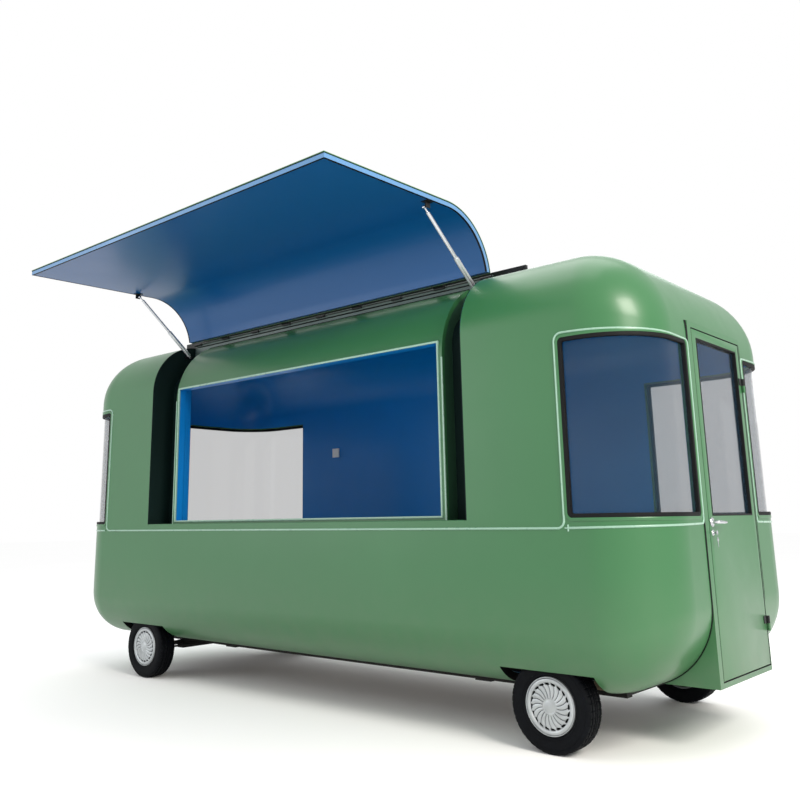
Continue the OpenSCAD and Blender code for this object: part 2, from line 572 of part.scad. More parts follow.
place() chassis_frame();
place() tow_clevis();
place() floor_panel();
place() wheel_boxes();
place() lower_side_serving();
place() lower_side_back();
place() lower_end_door();
place() lower_end_front();
place() upper_side_back();
place() upper_end_door();
place() upper_end_front();
place() roof();
place() serving_sill();
place() hatch_bay();
place() serving_frame();
place() door_portal();
place() inner_lining();
place() corner_windows();
place() window_gaskets();
place() waist_trim();
place() switch_plate();
place() roof_rail();
place() strut_mounts();
place() axle_door_end();
place() axle_front_end();
place() knuckle_near();
place() knuckle_far();
place() tie_rod();
place() hatch_panel();
place() hatch_brackets();
place() strut_place(-1) strut_tube();  // strut_tube_left
place() strut_place(-1) strut_rod();  // strut_rod_left
place() strut_place(1) strut_tube();  // strut_tube_right
place() strut_place(1) strut_rod();  // strut_rod_right
place() door_leaf();
place() door_glass();
place() door_handle();
place() door_hinges();
place() wheel_at(axle_door, -1);  // wheel_door_near
place() wheel_at(axle_door, 1);  // wheel_door_far
place() wheel_at(axle_front, -1);  // wheel_front_near
place() wheel_at(axle_front, 1);  // wheel_front_far
place() tyre_at(axle_door, -1);  // tyre_door_near
place() tyre_at(axle_door, 1);  // tyre_door_far
place() tyre_at(axle_front, -1);  // tyre_front_near
place() tyre_at(axle_front, 1);  // tyre_front_far
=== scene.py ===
import math
import bpy
import bmesh
from mathutils import Vector, Matrix
from mathutils.bvhtree import BVHTree


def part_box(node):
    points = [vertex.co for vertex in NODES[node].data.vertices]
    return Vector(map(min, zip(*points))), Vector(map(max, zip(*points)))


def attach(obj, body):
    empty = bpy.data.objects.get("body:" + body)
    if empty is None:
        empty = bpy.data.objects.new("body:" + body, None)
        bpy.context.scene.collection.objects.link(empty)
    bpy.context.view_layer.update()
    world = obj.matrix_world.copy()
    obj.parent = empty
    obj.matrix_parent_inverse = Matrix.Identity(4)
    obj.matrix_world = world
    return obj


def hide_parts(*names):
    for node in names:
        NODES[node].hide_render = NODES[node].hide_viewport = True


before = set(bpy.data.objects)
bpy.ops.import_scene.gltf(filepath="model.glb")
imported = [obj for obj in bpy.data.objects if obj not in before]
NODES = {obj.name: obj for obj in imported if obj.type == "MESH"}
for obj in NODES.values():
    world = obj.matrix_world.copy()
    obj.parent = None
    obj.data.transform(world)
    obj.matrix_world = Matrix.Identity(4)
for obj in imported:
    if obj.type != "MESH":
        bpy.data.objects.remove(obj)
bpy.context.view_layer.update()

RB = "trailer_body"

# ------------------------------------------------------------------ body numbers, millimetres
ED, EF, HW = 2780.0, 2700.0, 1024.0
ZL, ZT, CR, WT = 315.0, 2768.0, 12.0, 45.0
RP, RTS, RTE, RBS, RBE = 400.0, 440.0, 510.0, 310.0, 450.0
WZ, EZ = 1175.0, 2250.0
BH, SZ = 1626.0, 1225.0
PIN, CHN, PHW = 93.0, 208.0, 1410.0
OHW, OZ0, OZ1 = 1371.0, 1251.0, 2331.0
HY, HZ = -618.0, 2788.0
MX = (ED - EF) / 2
AXD, AXF, TR, WY = 2051.0, -1759.0, 242.0, 852.5
_lo, _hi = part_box("lower_side_serving")
SX = _hi.x - 1.640
SY = _lo.y + 1.024


def W(p):
    """vehicle millimetres to the row frame in metres"""
    return Vector((p[0] / 1000 + SX, p[1] / 1000 + SY, p[2] / 1000))


def lerp(a, b, k):
    return a + (b - a) * k


def pt(s, l, t):
    kind, sx, sy, v = s
    a = v if kind == 0 else (90.0 if kind == 1 else 0.0)
    w = math.cos(math.radians(a)) ** 2
    k, lv = l
    th = lv if k in (0, 2) else 90.0
    sn = 0.0 if k == 3 else math.sin(math.radians(th))
    cs = math.cos(math.radians(th))
    re = RBE - t if k == 0 else (RTE - t if k in (2, 3) else 0.0)
    rs = RBS - t if k == 0 else (RTS - t if k in (2, 3) else 0.0)
    lx = (ED if sx > 0 else EF) - t - re * (1 - sn)
    ly = HW - t - rs * (1 - sn)
    rho = (RP - t) * sn + 12 * (1 - sn)
    ca, sa = math.cos(math.radians(a)), math.sin(math.radians(a))
    x = sx * (lx - rho + rho * ca) if kind == 0 else (v if kind == 1 else sx * lx)
    y = sy * (ly - rho + rho * sa) if kind == 0 else (sy * ly if kind == 1 else v)
    if k == 0:
        z = ZL + t + (lerp(RBS, RBE, w) - t) * (1 - cs)
    elif k == 1:
        z = lv
    elif k == 2:
        z = ZT - t - (lerp(RTS, RTE, w) - t) * (1 - cs)
    else:
        z = ZT - t + CR * (1 - lv * lv)
    q = lv if k == 3 else 1.0
    return (MX + (x - MX) * q, y * q, z)


def corner(sx, sy, a0, a1, n=24):
    return [(0, sx, sy, lerp(a0, a1, i / n)) for i in range(n + 1)]


def side(sy, x0, x1, n):
    return [(1, 1 if lerp(x0, x1, i / n) > 0 else -1, sy, lerp(x0, x1, i / n)) for i in range(n + 1)]


def endw(sx, y0, y1, n):
    return [(2, sx, 1, lerp(y0, y1, i / n)) for i in range(n + 1)]


ARC = 18
UP = [(0, 90 * i / ARC) for i in range(ARC + 1)]
OVER = [(2, 90 - 90 * i / ARC) for i in range(ARC + 1)]


def normal_at(s, l):
    """outward normal of the skin, from small steps along it"""
    kind, sx, sy, v = s
    e = 0.05
    if kind == 0:
        a0, a1 = max(0.0, v - e), min(90.0, v + e)
        du = Vector(pt((0, sx, sy, a1), l, 0)) - Vector(pt((0, sx, sy, a0), l, 0))
    elif kind == 1:
        du = Vector((1, 0, 0))
    else:
        du = Vector((0, 1, 0))
    k, lv = l
    if k in (0, 2):
        b0, b1 = max(0.0, lv - e), min(90.0, lv + e)
        dv = Vector(pt(s, (k, b1), 0)) - Vector(pt(s, (k, b0), 0))
    elif k == 1:
        dv = Vector((0, 0, 1))
    else:
        dv = Vector(pt(s, (3, max(lv - .01, 0.0)), 0)) - Vector(pt(s, (3, lv + .01), 0))
    n = du.cross(dv)
    if n.length < 1e-9:
        n = Vector((0, 0, -1 if k == 0 else 1))
    n.normalize()
    p = Vector(pt(s, l, 0))
    c = Vector((max(-2200, min(2200, p.x)), 0, 1500))
    if n.dot(p - c) < 0:
        n = -n
    return n


# ------------------------------------------------------------------ mesh helpers
def link(ob):
    bpy.context.scene.collection.objects.link(ob)
    return ob


def mesh_obj(name, verts, faces, mats=(), idx=None, world=False):
    me = bpy.data.meshes.new(name)
    me.from_pydata([tuple(v) if world else tuple(W(v)) for v in verts], [], faces)
    bm = bmesh.new()
    bm.from_mesh(me)
    bmesh.ops.remove_doubles(bm, verts=bm.verts, dist=1e-6)
    bmesh.ops.recalc_face_normals(bm, faces=bm.faces)
    bm.to_mesh(me)
    bm.free()
    for m in mats:
        me.materials.append(m)
    if idx is not None and len(idx) == len(me.polygons):
        me.polygons.foreach_set("material_index", idx)
    return link(bpy.data.objects.new(name, me))


def smooth(ob, ang=32):
    me = ob.data
    me.polygons.foreach_set("use_smooth", [True] * len(me.polygons))
    me.set_sharp_from_angle(angle=math.radians(ang))
    me.update()
    return ob


def apply_mods(ob):
    dg = bpy.context.evaluated_depsgraph_get()
    me = bpy.data.meshes.new_from_object(ob.evaluated_get(dg), preserve_all_data_layers=True, depsgraph=dg)
    old = ob.data
    ob.modifiers.clear()
    ob.data = me
    me.name = ob.name
    bpy.data.meshes.remove(old)
    return ob


def bevel(ob, w=2.0, seg=2, ang=35):
    m = ob.modifiers.new("b", "BEVEL")
    m.width = w / 1000
    m.segments = seg
    m.limit_method = "ANGLE"
    m.angle_limit = math.radians(ang)
    m.harden_normals = False
    apply_mods(ob)
    return smooth(ob, 40)


def boolean(ob, cutter, op="DIFFERENCE", keep=False):
    m = ob.modifiers.new("c", "BOOLEAN")
    m.operation = op
    m.solver = "MANIFOLD"
    m.object = cutter
    apply_mods(ob)
    if not keep:
        me = cutter.data
        bpy.data.objects.remove(cutter)
        bpy.data.meshes.remove(me)
    return ob


def box_data(lo, hi):
    v = [(x, y, z) for x in (lo[0], hi[0]) for y in (lo[1], hi[1]) for z in (lo[2], hi[2])]
    f = [(0, 1, 3, 2), (4, 6, 7, 5), (0, 4, 5, 1), (2, 3, 7, 6), (0, 2, 6, 4), (1, 5, 7, 3)]
    return v, f


def boxes(name, items, mats=()):
    vs, fs = [], []
    for lo, hi in items:
        v, f = box_data(lo, hi)
        o = len(vs)
        vs += v
        fs += [tuple(i + o for i in q) for q in f]
    me = bpy.data.meshes.new(name)
    me.from_pydata([tuple(W(v)) for v in vs], [], fs)
    bm = bmesh.new(); bm.from_mesh(me)
    bmesh.ops.recalc_face_normals(bm, faces=bm.faces)
    bm.to_mesh(me); bm.free()
    for m in mats:
        me.materials.append(m)
    return link(bpy.data.objects.new(name, me))


def join(name, obs):
    """one object from several, keeping their materials"""
    bm = bmesh.new()
    mats = []
    for o in obs:
        me = o.data
        remap = []
        for m in me.materials:
            if m not in mats:
                mats.append(m)
            remap.append(mats.index(m))
        n0 = len(bm.faces)
        bm.from_mesh(me)
        bm.faces.ensure_lookup_table()
        for f in bm.faces[n0:]:
            f.material_index = remap[f.material_index] if remap else 0
    me = bpy.data.meshes.new(name)
    bm.to_mesh(me)
    bm.free()
    for m in mats:
        me.materials.append(m)
    for o in obs:
        d = o.data
        bpy.data.objects.remove(o)
        if d.users == 0:
            bpy.data.meshes.remove(d)
    return link(bpy.data.objects.new(name, me))


def patch(name, st, lv, t0, t1, mats=()):
    ns, nl = len(st), len(lv)
    vs = [pt(s, l, t) for s in st for l in lv for t in (t0, t1)]
    I = lambda i, j, k: (i * nl + j) * 2 + k
    fs = []
    for i in range(ns - 1):
        for j in range(nl - 1):
            fs.append((I(i, j, 0), I(i + 1, j, 0), I(i + 1, j + 1, 0), I(i, j + 1, 0)))
            fs.append((I(i, j, 1), I(i, j + 1, 1), I(i + 1, j + 1, 1), I(i + 1, j, 1)))
    for j in range(nl - 1):
        fs.append((I(0, j, 0), I(0, j + 1, 0), I(0, j + 1, 1), I(0, j, 1)))
        fs.append((I(ns - 1, j, 0), I(ns - 1, j, 1), I(ns - 1, j + 1, 1), I(ns - 1, j + 1, 0)))
    for i in range(ns - 1):
        fs.append((I(i, 0, 0), I(i, 0, 1), I(i + 1, 0, 1), I(i + 1, 0, 0)))
        fs.append((I(i, nl - 1, 0), I(i + 1, nl - 1, 0), I(i + 1, nl - 1, 1), I(i, nl - 1, 1)))
    return mesh_obj(name, vs, fs, mats)


LOOP = (corner(1, -1, 90, 0) + endw(1, -500, 500, 4) + corner(1, 1, 0, 90) + side(1, 2100, -2000, 8)
        + corner(-1, 1, 90, 0) + endw(-1, 500, -500, 4) + corner(-1, -1, 0, 90) + side(-1, -2000, 2100, 8))


def dome(name, lv, t0, t1, mats=()):
    st = LOOP
    ns, nl = len(st), len(lv)
    vs = [pt(s, l, t) for s in st for l in lv for t in (t0, t1)] + [(MX, 0, ZT - t0 + CR), (MX, 0, ZT - t1 + CR)]
    c0 = ns * nl * 2
    I = lambda i, j, k: ((i % ns) * nl + j) * 2 + k
    fs = []
    for i in range(ns):
        for j in range(nl - 1):
            fs.append((I(i, j, 0), I(i + 1, j, 0), I(i + 1, j + 1, 0), I(i, j + 1, 0)))
            fs.append((I(i, j, 1), I(i, j + 1, 1), I(i + 1, j + 1, 1), I(i + 1, j, 1)))
        fs.append((I(i, nl - 1, 0), I(i + 1, nl - 1, 0), c0))
        fs.append((I(i, nl - 1, 1), c0 + 1, I(i + 1, nl - 1, 1)))
        fs.append((I(i, 0, 0), I(i, 0, 1), I(i + 1, 0, 1), I(i + 1, 0, 0)))
    return mesh_obj(name, vs, fs, mats)


def skin_tree():
    lv = UP + [(1, WZ), (1, EZ)] + OVER + [(3, .8), (3, .45), (3, .1)]
    st = LOOP
    ns, nl = len(st), len(lv)
    vs = [W(pt(s, l, 0)) for s in st for l in lv]
    nm = [normal_at(s, l) for s in st for l in lv]
    I = lambda i, j: (i % ns) * nl + j
    tri = []
    for i in range(ns):
        for j in range(nl - 1):
            a, b, c, d = I(i, j), I(i + 1, j), I(i + 1, j + 1), I(i, j + 1)
            tri += [(a, b, c), (a, c, d)]
    return BVHTree.FromPolygons(vs, tri), vs, nm, tri


TREE, TV, TN, TT = skin_tree()


def tree_normal(p):
    loc, n, i, d = TREE.find_nearest(p)
    a, b, c = TT[i]
    A, B, C = TV[a], TV[b], TV[c]
    v0, v1, v2 = B - A, C - A, loc - A
    d00, d01, d11, d20, d21 = v0.dot(v0), v0.dot(v1), v1.dot(v1), v2.dot(v0), v2.dot(v1)
    den = d00 * d11 - d01 * d01
    if abs(den) < 1e-18:
        return TN[a]
    v = (d11 * d20 - d01 * d21) / den
    w = (d00 * d21 - d01 * d20) / den
    r = TN[a] * (1 - v - w) + TN[b] * v + TN[c] * w
    r.normalize()
    return r


def skin_normals(ob, lim=0.93):
    """shade the curved faces with the true normals of the body surface"""
    me = ob.data
    me.polygons.foreach_set("use_smooth", [True] * len(me.polygons))
    cache = {}
    out = []
    for p in me.polygons:
        fn = p.normal
        for vi in p.vertices:
            n = cache.get(vi)
            if n is None:
                n = cache[vi] = tree_normal(me.vertices[vi].co)
            d = fn.dot(n)
            out.append(tuple(n) if d > lim else (tuple(-n) if d < -lim else tuple(fn)))
    me.normals_split_custom_set(out)
    me.update()
    return ob


def lathe(name, prof, axis_c, s, mats=(), n=96, closed=True, idx=None):
    """revolve (radius, depth) about the wheel axis; depth grows outward on side s"""
    vs, fs = [], []
    m = len(prof)
    for i in range(n):
        a = 2 * math.pi * i / n
        for r, d in prof:
            vs.append((axis_c[0] + r * math.cos(a), axis_c[1] + s * d, axis_c[2] + r * math.sin(a)))
    ids = []
    for i in range(n):
        i2 = (i + 1) % n
        for j in range(m if closed else m - 1):
            j2 = (j + 1) % m
            fs.append((i * m + j, i2 * m + j, i2 * m + j2, i * m + j2))
            ids.append(idx[j] if idx else 0)
    ob = mesh_obj(name, vs, fs, mats)
    return ob


def prism_x(name, poly, x0, x1, mats=(), nx=1):
    """a (Y, Z) outline pushed along X"""
    m = len(poly)
    xs = [lerp(x0, x1, i / nx) for i in range(nx + 1)]
    vs = [(x, y, z) for x in xs for y, z in poly]
    fs = []
    for i in range(nx):
        for j in range(m):
            j2 = (j + 1) % m
            fs.append((i * m + j, i * m + j2, (i + 1) * m + j2, (i + 1) * m + j))
    fs.append(tuple(reversed(range(m))))
    fs.append(tuple(nx * m + j for j in range(m)))
    return mesh_obj(name, vs, fs, mats)


ACY, ACZ = -(HW - RTS), ZT - RTS


def prof(t, yend, zb, n=26):
    """the serving side of the body seen along X, t inside the skin, from zb up and over to y = yend"""
    r = RTS - t
    pts = [(-(HW - t), zb), (-(HW - t), (zb + ACZ) / 2)]
    amax = 90.0 if yend >= ACY else math.degrees(math.asin(min(1, (yend - ACY + r) and 1)))
    if yend < ACY:
        amax = math.degrees(math.acos(min(1.0, (ACY - yend) / r)))
    for i in range(n + 1):
        a = math.radians(180 - amax * i / n)
        pts.append((ACY + r * math.cos(a), ACZ + r * math.sin(a)))
    if yend > ACY:
        pts.append((yend, ZT - t))
    return pts


def band(t0, t1, yend, zb, n=26):
    return prof(t0, yend, zb, n) + list(reversed(prof(t1, yend, zb, n)))


PFY = -(HW - PIN)


def pprof(o, yend, zb, n=30):
    """the raised panel round the opening seen along X, o behind its face"""
    r = 540 - o
    cy, cz = PFY + 540, 2240.0
    pts = [(PFY + o, zb), (PFY + o, (zb + cz) / 2)]
    amax = math.degrees(math.acos(max(-1.0, min(1.0, (cy - yend) / r))))
    for i in range(n + 1):
        a = math.radians(180 - amax * i / n)
        pts.append((cy + r * math.cos(a), cz + r * math.sin(a)))
    return pts


def pband(o0, o1, yend, zb, n=30):
    return pprof(o0, yend, zb, n) + list(reversed(pprof(o1, yend, zb, n)))


# plan line of the door-end quarter: u is X along the side, then on round the corner, then across the end
def plan(u, t, sx, sy):
    L = ED if sx > 0 else EF
    u1 = L - RP
    arc = RP * math.pi / 2
    if u <= u1:
        x, y, n = u, HW - t, (0.0, 1.0)
    elif u < u1 + arc:
        a = (u - u1) / RP
        x = u1 + (RP - t) * math.sin(a)
        y = HW - RP + (RP - t) * math.cos(a)
        n = (math.sin(a), math.cos(a))
    else:
        x, y, n = L - t, HW - RP - (u - u1 - arc), (1.0, 0.0)
    return (sx * x, sy * y), (sx * n[0], sy * n[1])


def rounded(points, radii, closed, step=6.0):
    """(u, z) polyline with rounded corners, cut into short steps"""
    n = len(points)
    out = []
    for i in range(n):
        p = Vector(points[i])
        r = radii[i]
        if (not closed and i in (0, n - 1)) or r <= 0:
            out.append(tuple(p))
            continue
        a, b = Vector(points[i - 1]), Vector(points[(i + 1) % n])
        da, db = (a - p).normalized(), (b - p).normalized()
        ang = da.angle(db)
        dist = r / math.tan(ang / 2)
        c = p + (da + db).normalized() * (r / math.sin(ang / 2))
        s, e = p + da * dist, p + db * dist
        vs, ve = s - c, e - c
        tot = vs.angle(ve)
        cr = vs.x * ve.y - vs.y * ve.x
        for k in range(9):
            th = tot * k / 8 * (1 if cr > 0 else -1)
            out.append((c.x + vs.x * math.cos(th) - vs.y * math.sin(th), c.y + vs.x * math.sin(th) + vs.y * math.cos(th)))
    res = []
    m = len(out)
    for i in range(m if closed else m - 1):
        a, b = out[i], out[(i + 1) % m]
        d = math.hypot(b[0] - a[0], b[1] - a[1])
        k = max(1, int(d / 14.0))
        for q in range(k):
            res.append((lerp(a[0], b[0], q / k), lerp(a[1], b[1], q / k)))
    if not closed:
        res.append(out[-1])
    return res


def sweep(name, path, closed, section, sx, sy, mats=(), caps=True):
    """carry a section (across, proud) along a (u, z) path drawn on the wall"""
    def pos(u, z, t):
        (x, y), n = plan(u, t, sx, sy)
        return Vector((x, y, z)), Vector((n[0], n[1], 0))
    P = [pos(u, z, 0) for u, z in path]
    n, m = len(P), len(section)
    vs = []
    for i in range(n):
        a = P[(i - 1) % n][0] if (closed or i > 0) else P[0][0]
        b = P[(i + 1) % n][0] if (closed or i < n - 1) else P[-1][0]
        T = (b - a).normalized()
        N = P[i][1]
        B = T.cross(N).normalized()
        for ac, pr in section:
            vs.append(tuple(P[i][0] + B * ac + N * pr))
    fs = []
    for i in range(n if closed else n - 1):
        i2 = (i + 1) % n
        for j in range(m):
            j2 = (j + 1) % m
            fs.append((i * m + j, i * m + j2, i2 * m + j2, i2 * m + j))
    if not closed and caps:
        fs.append(tuple(range(m)))
        fs.append(tuple((n - 1) * m + j for j in reversed(range(m))))
    return smooth(mesh_obj(name, vs, fs, mats), 50)


def halfround(w, h, n=8, base=-1.5):
    return [(w * math.cos(math.pi * k / n), h * math.sin(math.pi * k / n)) for k in range(n + 1)] + [(-w, base), (w, base)]


# ------------------------------------------------------------------ materials
def nodes_of(m):
    m.use_nodes = True
    nt = m.node_tree
    nt.nodes.clear()
    out = nt.nodes.new("ShaderNodeOutputMaterial")
    bs = nt.nodes.new("ShaderNodeBsdfPrincipled")
    nt.links.new(bs.outputs[0], out.inputs[0])
    return nt, bs


def mat(name, col, rough=0.4, metal=0.0, coat=0.0, var=0.12, scale=1.6, rvar=0.1, bump=0.15, bscale=420.0, grain=None, dust=0.0, alpha=None, spec=0.5, coat_rough=0.08):
    m = bpy.data.materials.new(name)
    nt, bs = nodes_of(m)
    N, L = nt.nodes, nt.links
    tc = N.new("ShaderNodeTexCoord")
    src = tc.outputs["Object"]
    if grain:
        mp = N.new("ShaderNodeMapping")
        mp.inputs["Scale"].default_value = grain
        L.new(src, mp.inputs["Vector"])
        src_g = mp.outputs[0]
    else:
        src_g = src
    n1 = N.new("ShaderNodeTexNoise")
    n1.inputs["Scale"].default_value = scale
    n1.inputs["Detail"].default_value = 5
    n1.inputs["Roughness"].default_value = 0.55
    L.new(src_g, n1.inputs["Vector"])
    ramp = N.new("ShaderNodeValToRGB")
    ramp.color_ramp.elements[0].position = 0.3
    ramp.color_ramp.elements[1].position = 0.72
    dk = [max(0, c * (1 - var)) for c in col]
    lt = [min(1, c * (1 + var * .8)) for c in col]
    ramp.color_ramp.elements[0].color = (*dk, 1)
    ramp.color_ramp.elements[1].color = (*lt, 1)
    L.new(n1.outputs[0], ramp.inputs[0])
    last = ramp.outputs[0]
    if dust > 0:
        sep = N.new("ShaderNodeSeparateXYZ")
        L.new(tc.outputs["Object"], sep.inputs[0])
        mr = N.new("ShaderNodeMapRange")
        mr.inputs[1].default_value = 0.95
        mr.inputs[2].default_value = 0.25
        mr.inputs[3].default_value = 0.0
        mr.inputs[4].default_value = dust
        L.new(sep.outputs[2], mr.inputs[0])
        n3 = N.new("ShaderNodeTexNoise")
        n3.inputs["Scale"].default_value = 9
        n3.inputs["Detail"].default_value = 6
        L.new(tc.outputs["Object"], n3.inputs["Vector"])
        mu = N.new("ShaderNodeMath")
        mu.operation = "MULTIPLY"
        L.new(mr.outputs[0], mu.inputs[0])
        L.new(n3.outputs[0], mu.inputs[1])
        mx = N.new("ShaderNodeMix")
        mx.data_type = "RGBA"
        L.new(mu.outputs[0], mx.inputs[0])
        L.new(last, mx.inputs[6])
        mx.inputs[7].default_value = (0.16, 0.145, 0.12, 1)
        last = mx.outputs[2]
    L.new(last, bs.inputs["Base Color"])
    n2 = N.new("ShaderNodeTexNoise")
    n2.inputs["Scale"].default_value = scale * 6
    n2.inputs["Detail"].default_value = 4
    L.new(src_g, n2.inputs["Vector"])
    mr2 = N.new("ShaderNodeMapRange")
    mr2.inputs[1].default_value = 0.3
    mr2.inputs[2].default_value = 0.7
    mr2.inputs[3].default_value = max(0.02, rough - rvar / 2)
    mr2.inputs[4].default_value = min(1.0, rough + rvar / 2)
    L.new(n2.outputs[0], mr2.inputs[0])
    L.new(mr2.outputs[0], bs.inputs["Roughness"])
    if bump > 0:
        n4 = N.new("ShaderNodeTexNoise")
        n4.inputs["Scale"].default_value = bscale
        n4.inputs["Detail"].default_value = 2
        L.new(src_g, n4.inputs["Vector"])
        bp = N.new("ShaderNodeBump")
        bp.inputs["Strength"].default_value = bump
        bp.inputs["Distance"].default_value = 0.0006
        L.new(n4.outputs[0], bp.inputs["Height"])
        L.new(bp.outputs[0], bs.inputs["Normal"])
    bs.inputs["Metallic"].default_value = metal
    bs.inputs["Coat Weight"].default_value = coat
    bs.inputs["Coat Roughness"].default_value = coat_rough
    bs.inputs["Specular IOR Level"].default_value = spec
    if alpha is not None:
        bs.inputs["Alpha"].default_value = alpha
    return m


def srgb(r, g, b):
    f = lambda c: (c / 255 / 12.92) if c / 255 <= 0.04045 else ((c / 255 + 0.055) / 1.055) ** 2.4
    return (f(r), f(g), f(b))


M = {}
M["green"] = mat("green_paint", srgb(48, 102, 60), rough=0.36, coat=0.10, var=0.05, scale=0.9, rvar=0.05, bump=0.04, bscale=260, dust=0.30, coat_rough=0.16)
# darker copy of the body green for the raised panel's end faces in the recess: painted shade
M["green_in"] = mat("green_recess_painted_shade", srgb(44, 78, 58), rough=0.42, coat=0.2, var=0.08, scale=1.5, bump=0.05, coat_rough=0.2)
# channel: the body's green paint darkened almost to black, painted shade of the open hatch falling in the channel
M["chan"] = mat("channel_green_painted_shade", srgb(8, 28, 26), rough=0.6, var=0.15, scale=2.0, bump=0.02, spec=0.15)
M["blue"] = mat("blue_paint", srgb(0, 74, 128), rough=0.34, metal=0.1, coat=0.12, spec=0.35, var=0.03, scale=0.5, rvar=0.03, bump=0.02, bscale=300, coat_rough=0.14)
# the lining's own blue, made brighter than the hatch blue as painted light for the dim cabin inside
M["blue_in"] = mat("blue_lining", srgb(0, 116, 190), rough=0.42, metal=0.0, coat=0.08, spec=0.3, var=0.05, scale=0.9, bump=0.03, coat_rough=0.15)
# lighter copy of the hatch blue: painted light on the hatch's end faces and bottom edge
M["blue_edge"] = mat("blue_edge_paint", srgb(84, 132, 178), rough=0.35, coat=0.3, var=0.06, scale=2.0, bump=0.04)
M["strip"] = mat("hinge_strip_grey", srgb(84, 100, 96), rough=0.42, coat=0.1, var=0.08, scale=6, bump=0.04)
M["mint"] = mat("pale_trim", srgb(134, 170, 150), rough=0.3, coat=0.4, var=0.06, scale=4, bump=0.03)
M["black"] = mat("black_metal", srgb(12, 13, 15), rough=0.45, coat=0.08, spec=0.3, var=0.25, scale=5, bump=0.1)
M["rubber"] = mat("black_rubber", srgb(9, 10, 12), rough=0.66, var=0.25, scale=12, bump=0.25, bscale=900, spec=0.2)
M["seal"] = mat("seal_rubber", srgb(7, 8, 10), rough=0.6, var=0.25, scale=12, bump=0.2, bscale=900, spec=0.2)
M["steel"] = mat("chassis_steel", srgb(15, 17, 20), rough=0.6, spec=0.12, var=0.3, scale=7, bump=0.3, bscale=160, dust=0.15)
M["silver"] = mat("bright_metal", srgb(196, 198, 202), rough=0.24, metal=0.95, var=0.06, scale=10, grain=(1, 1, 1), bump=0.08, bscale=700)
M["alu"] = mat("brushed_strut", srgb(205, 208, 212), rough=0.3, metal=0.85, var=0.08, scale=26, grain=(1, 12, 12), bump=0.1, bscale=300)
M["cap"] = mat("wheel_cover", srgb(172, 176, 178), rough=0.34, metal=0.7, var=0.14, scale=14, bump=0.12, bscale=500)
M["slot"] = mat("wheel_slot", srgb(6, 7, 8), rough=0.7, spec=0.05, var=0.3, scale=20, bump=0.2)
M["tyre"] = mat("tyre_rubber", srgb(8, 10, 14), rough=0.66, var=0.3, scale=16, rvar=0.12, bump=0.3, bscale=350, spec=0.09)
M["floor"] = mat("floor_vinyl", srgb(120, 106, 88), rough=0.5, var=0.25, scale=22, grain=(0.2, 1, 1), bump=0.2, bscale=220)
M["white"] = mat("white_plastic", srgb(226, 226, 220), rough=0.3, coat=0.3, var=0.04, scale=30, bump=0.03)


def glass_mat():
    m = bpy.data.materials.new("window_glass")
    nt, bs = nodes_of(m)
    N, L = nt.nodes, nt.links
    tc = N.new("ShaderNodeTexCoord")
    nz = N.new("ShaderNodeTexNoise")
    nz.inputs["Scale"].default_value = 2.2
    nz.inputs["Detail"].default_value = 3
    L.new(tc.outputs["Object"], nz.inputs["Vector"])
    ramp = N.new("ShaderNodeValToRGB")
    ramp.color_ramp.elements[0].color = (0.010, 0.028, 0.050, 1)
    ramp.color_ramp.elements[1].color = (0.020, 0.050, 0.080, 1)
    L.new(nz.outputs[0], ramp.inputs[0])
    L.new(ramp.outputs[0], bs.inputs["Base Color"])
    mr = N.new("ShaderNodeMapRange")
    mr.inputs[3].default_value = 0.0
    mr.inputs[4].default_value = 0.05
    L.new(nz.outputs[0], mr.inputs[0])
    L.new(mr.outputs[0], bs.inputs["Roughness"])
    bp = N.new("ShaderNodeBump")
    bp.inputs["Strength"].default_value = 0.15
    bp.inputs["Distance"].default_value = 0.002
    L.new(nz.outputs[0], bp.inputs["Height"])
    L.new(bp.outputs[0], bs.inputs["Normal"])
    bs.inputs["Metallic"].default_value = 0.0
    bs.inputs["IOR"].default_value = 1.5
    bs.inputs["Alpha"].default_value = 0.26
    bs.inputs["Specular IOR Level"].default_value = 0.5
    return m


M["glass"] = glass_mat()


def stand(ob, body, nodes=()):
    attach(ob, body)
    if nodes:
        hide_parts(*nodes)
    return ob


# ------------------------------------------------------------------ body panels
LOA, LOB = -1200.0, 1640.0


def arch_boxes():
    r = []
    for x in (AXD, AXF):
        for s in (-1, 1):
            y = sorted((s * 705.0, s * 948.0))
            r.append(((x - 290, y[0], 200), (x + 290, y[1], 555)))
    return r


PORTAL = ((ED - 380, -411, 250), (2900, 406, 2332))

lower = UP + [(1, 830.0), (1, WZ)]
stand(skin_normals(patch("serving_side_lower_skin", side(-1, LOA, LOB, 6), lower, 0, WT, [M["green"]])), RB, ["lower_side_serving"])
stand(skin_normals(patch("back_side_lower_skin", side(1, LOB, LOA, 6), lower, 0, WT, [M["green"]])), RB, ["lower_side_back"])


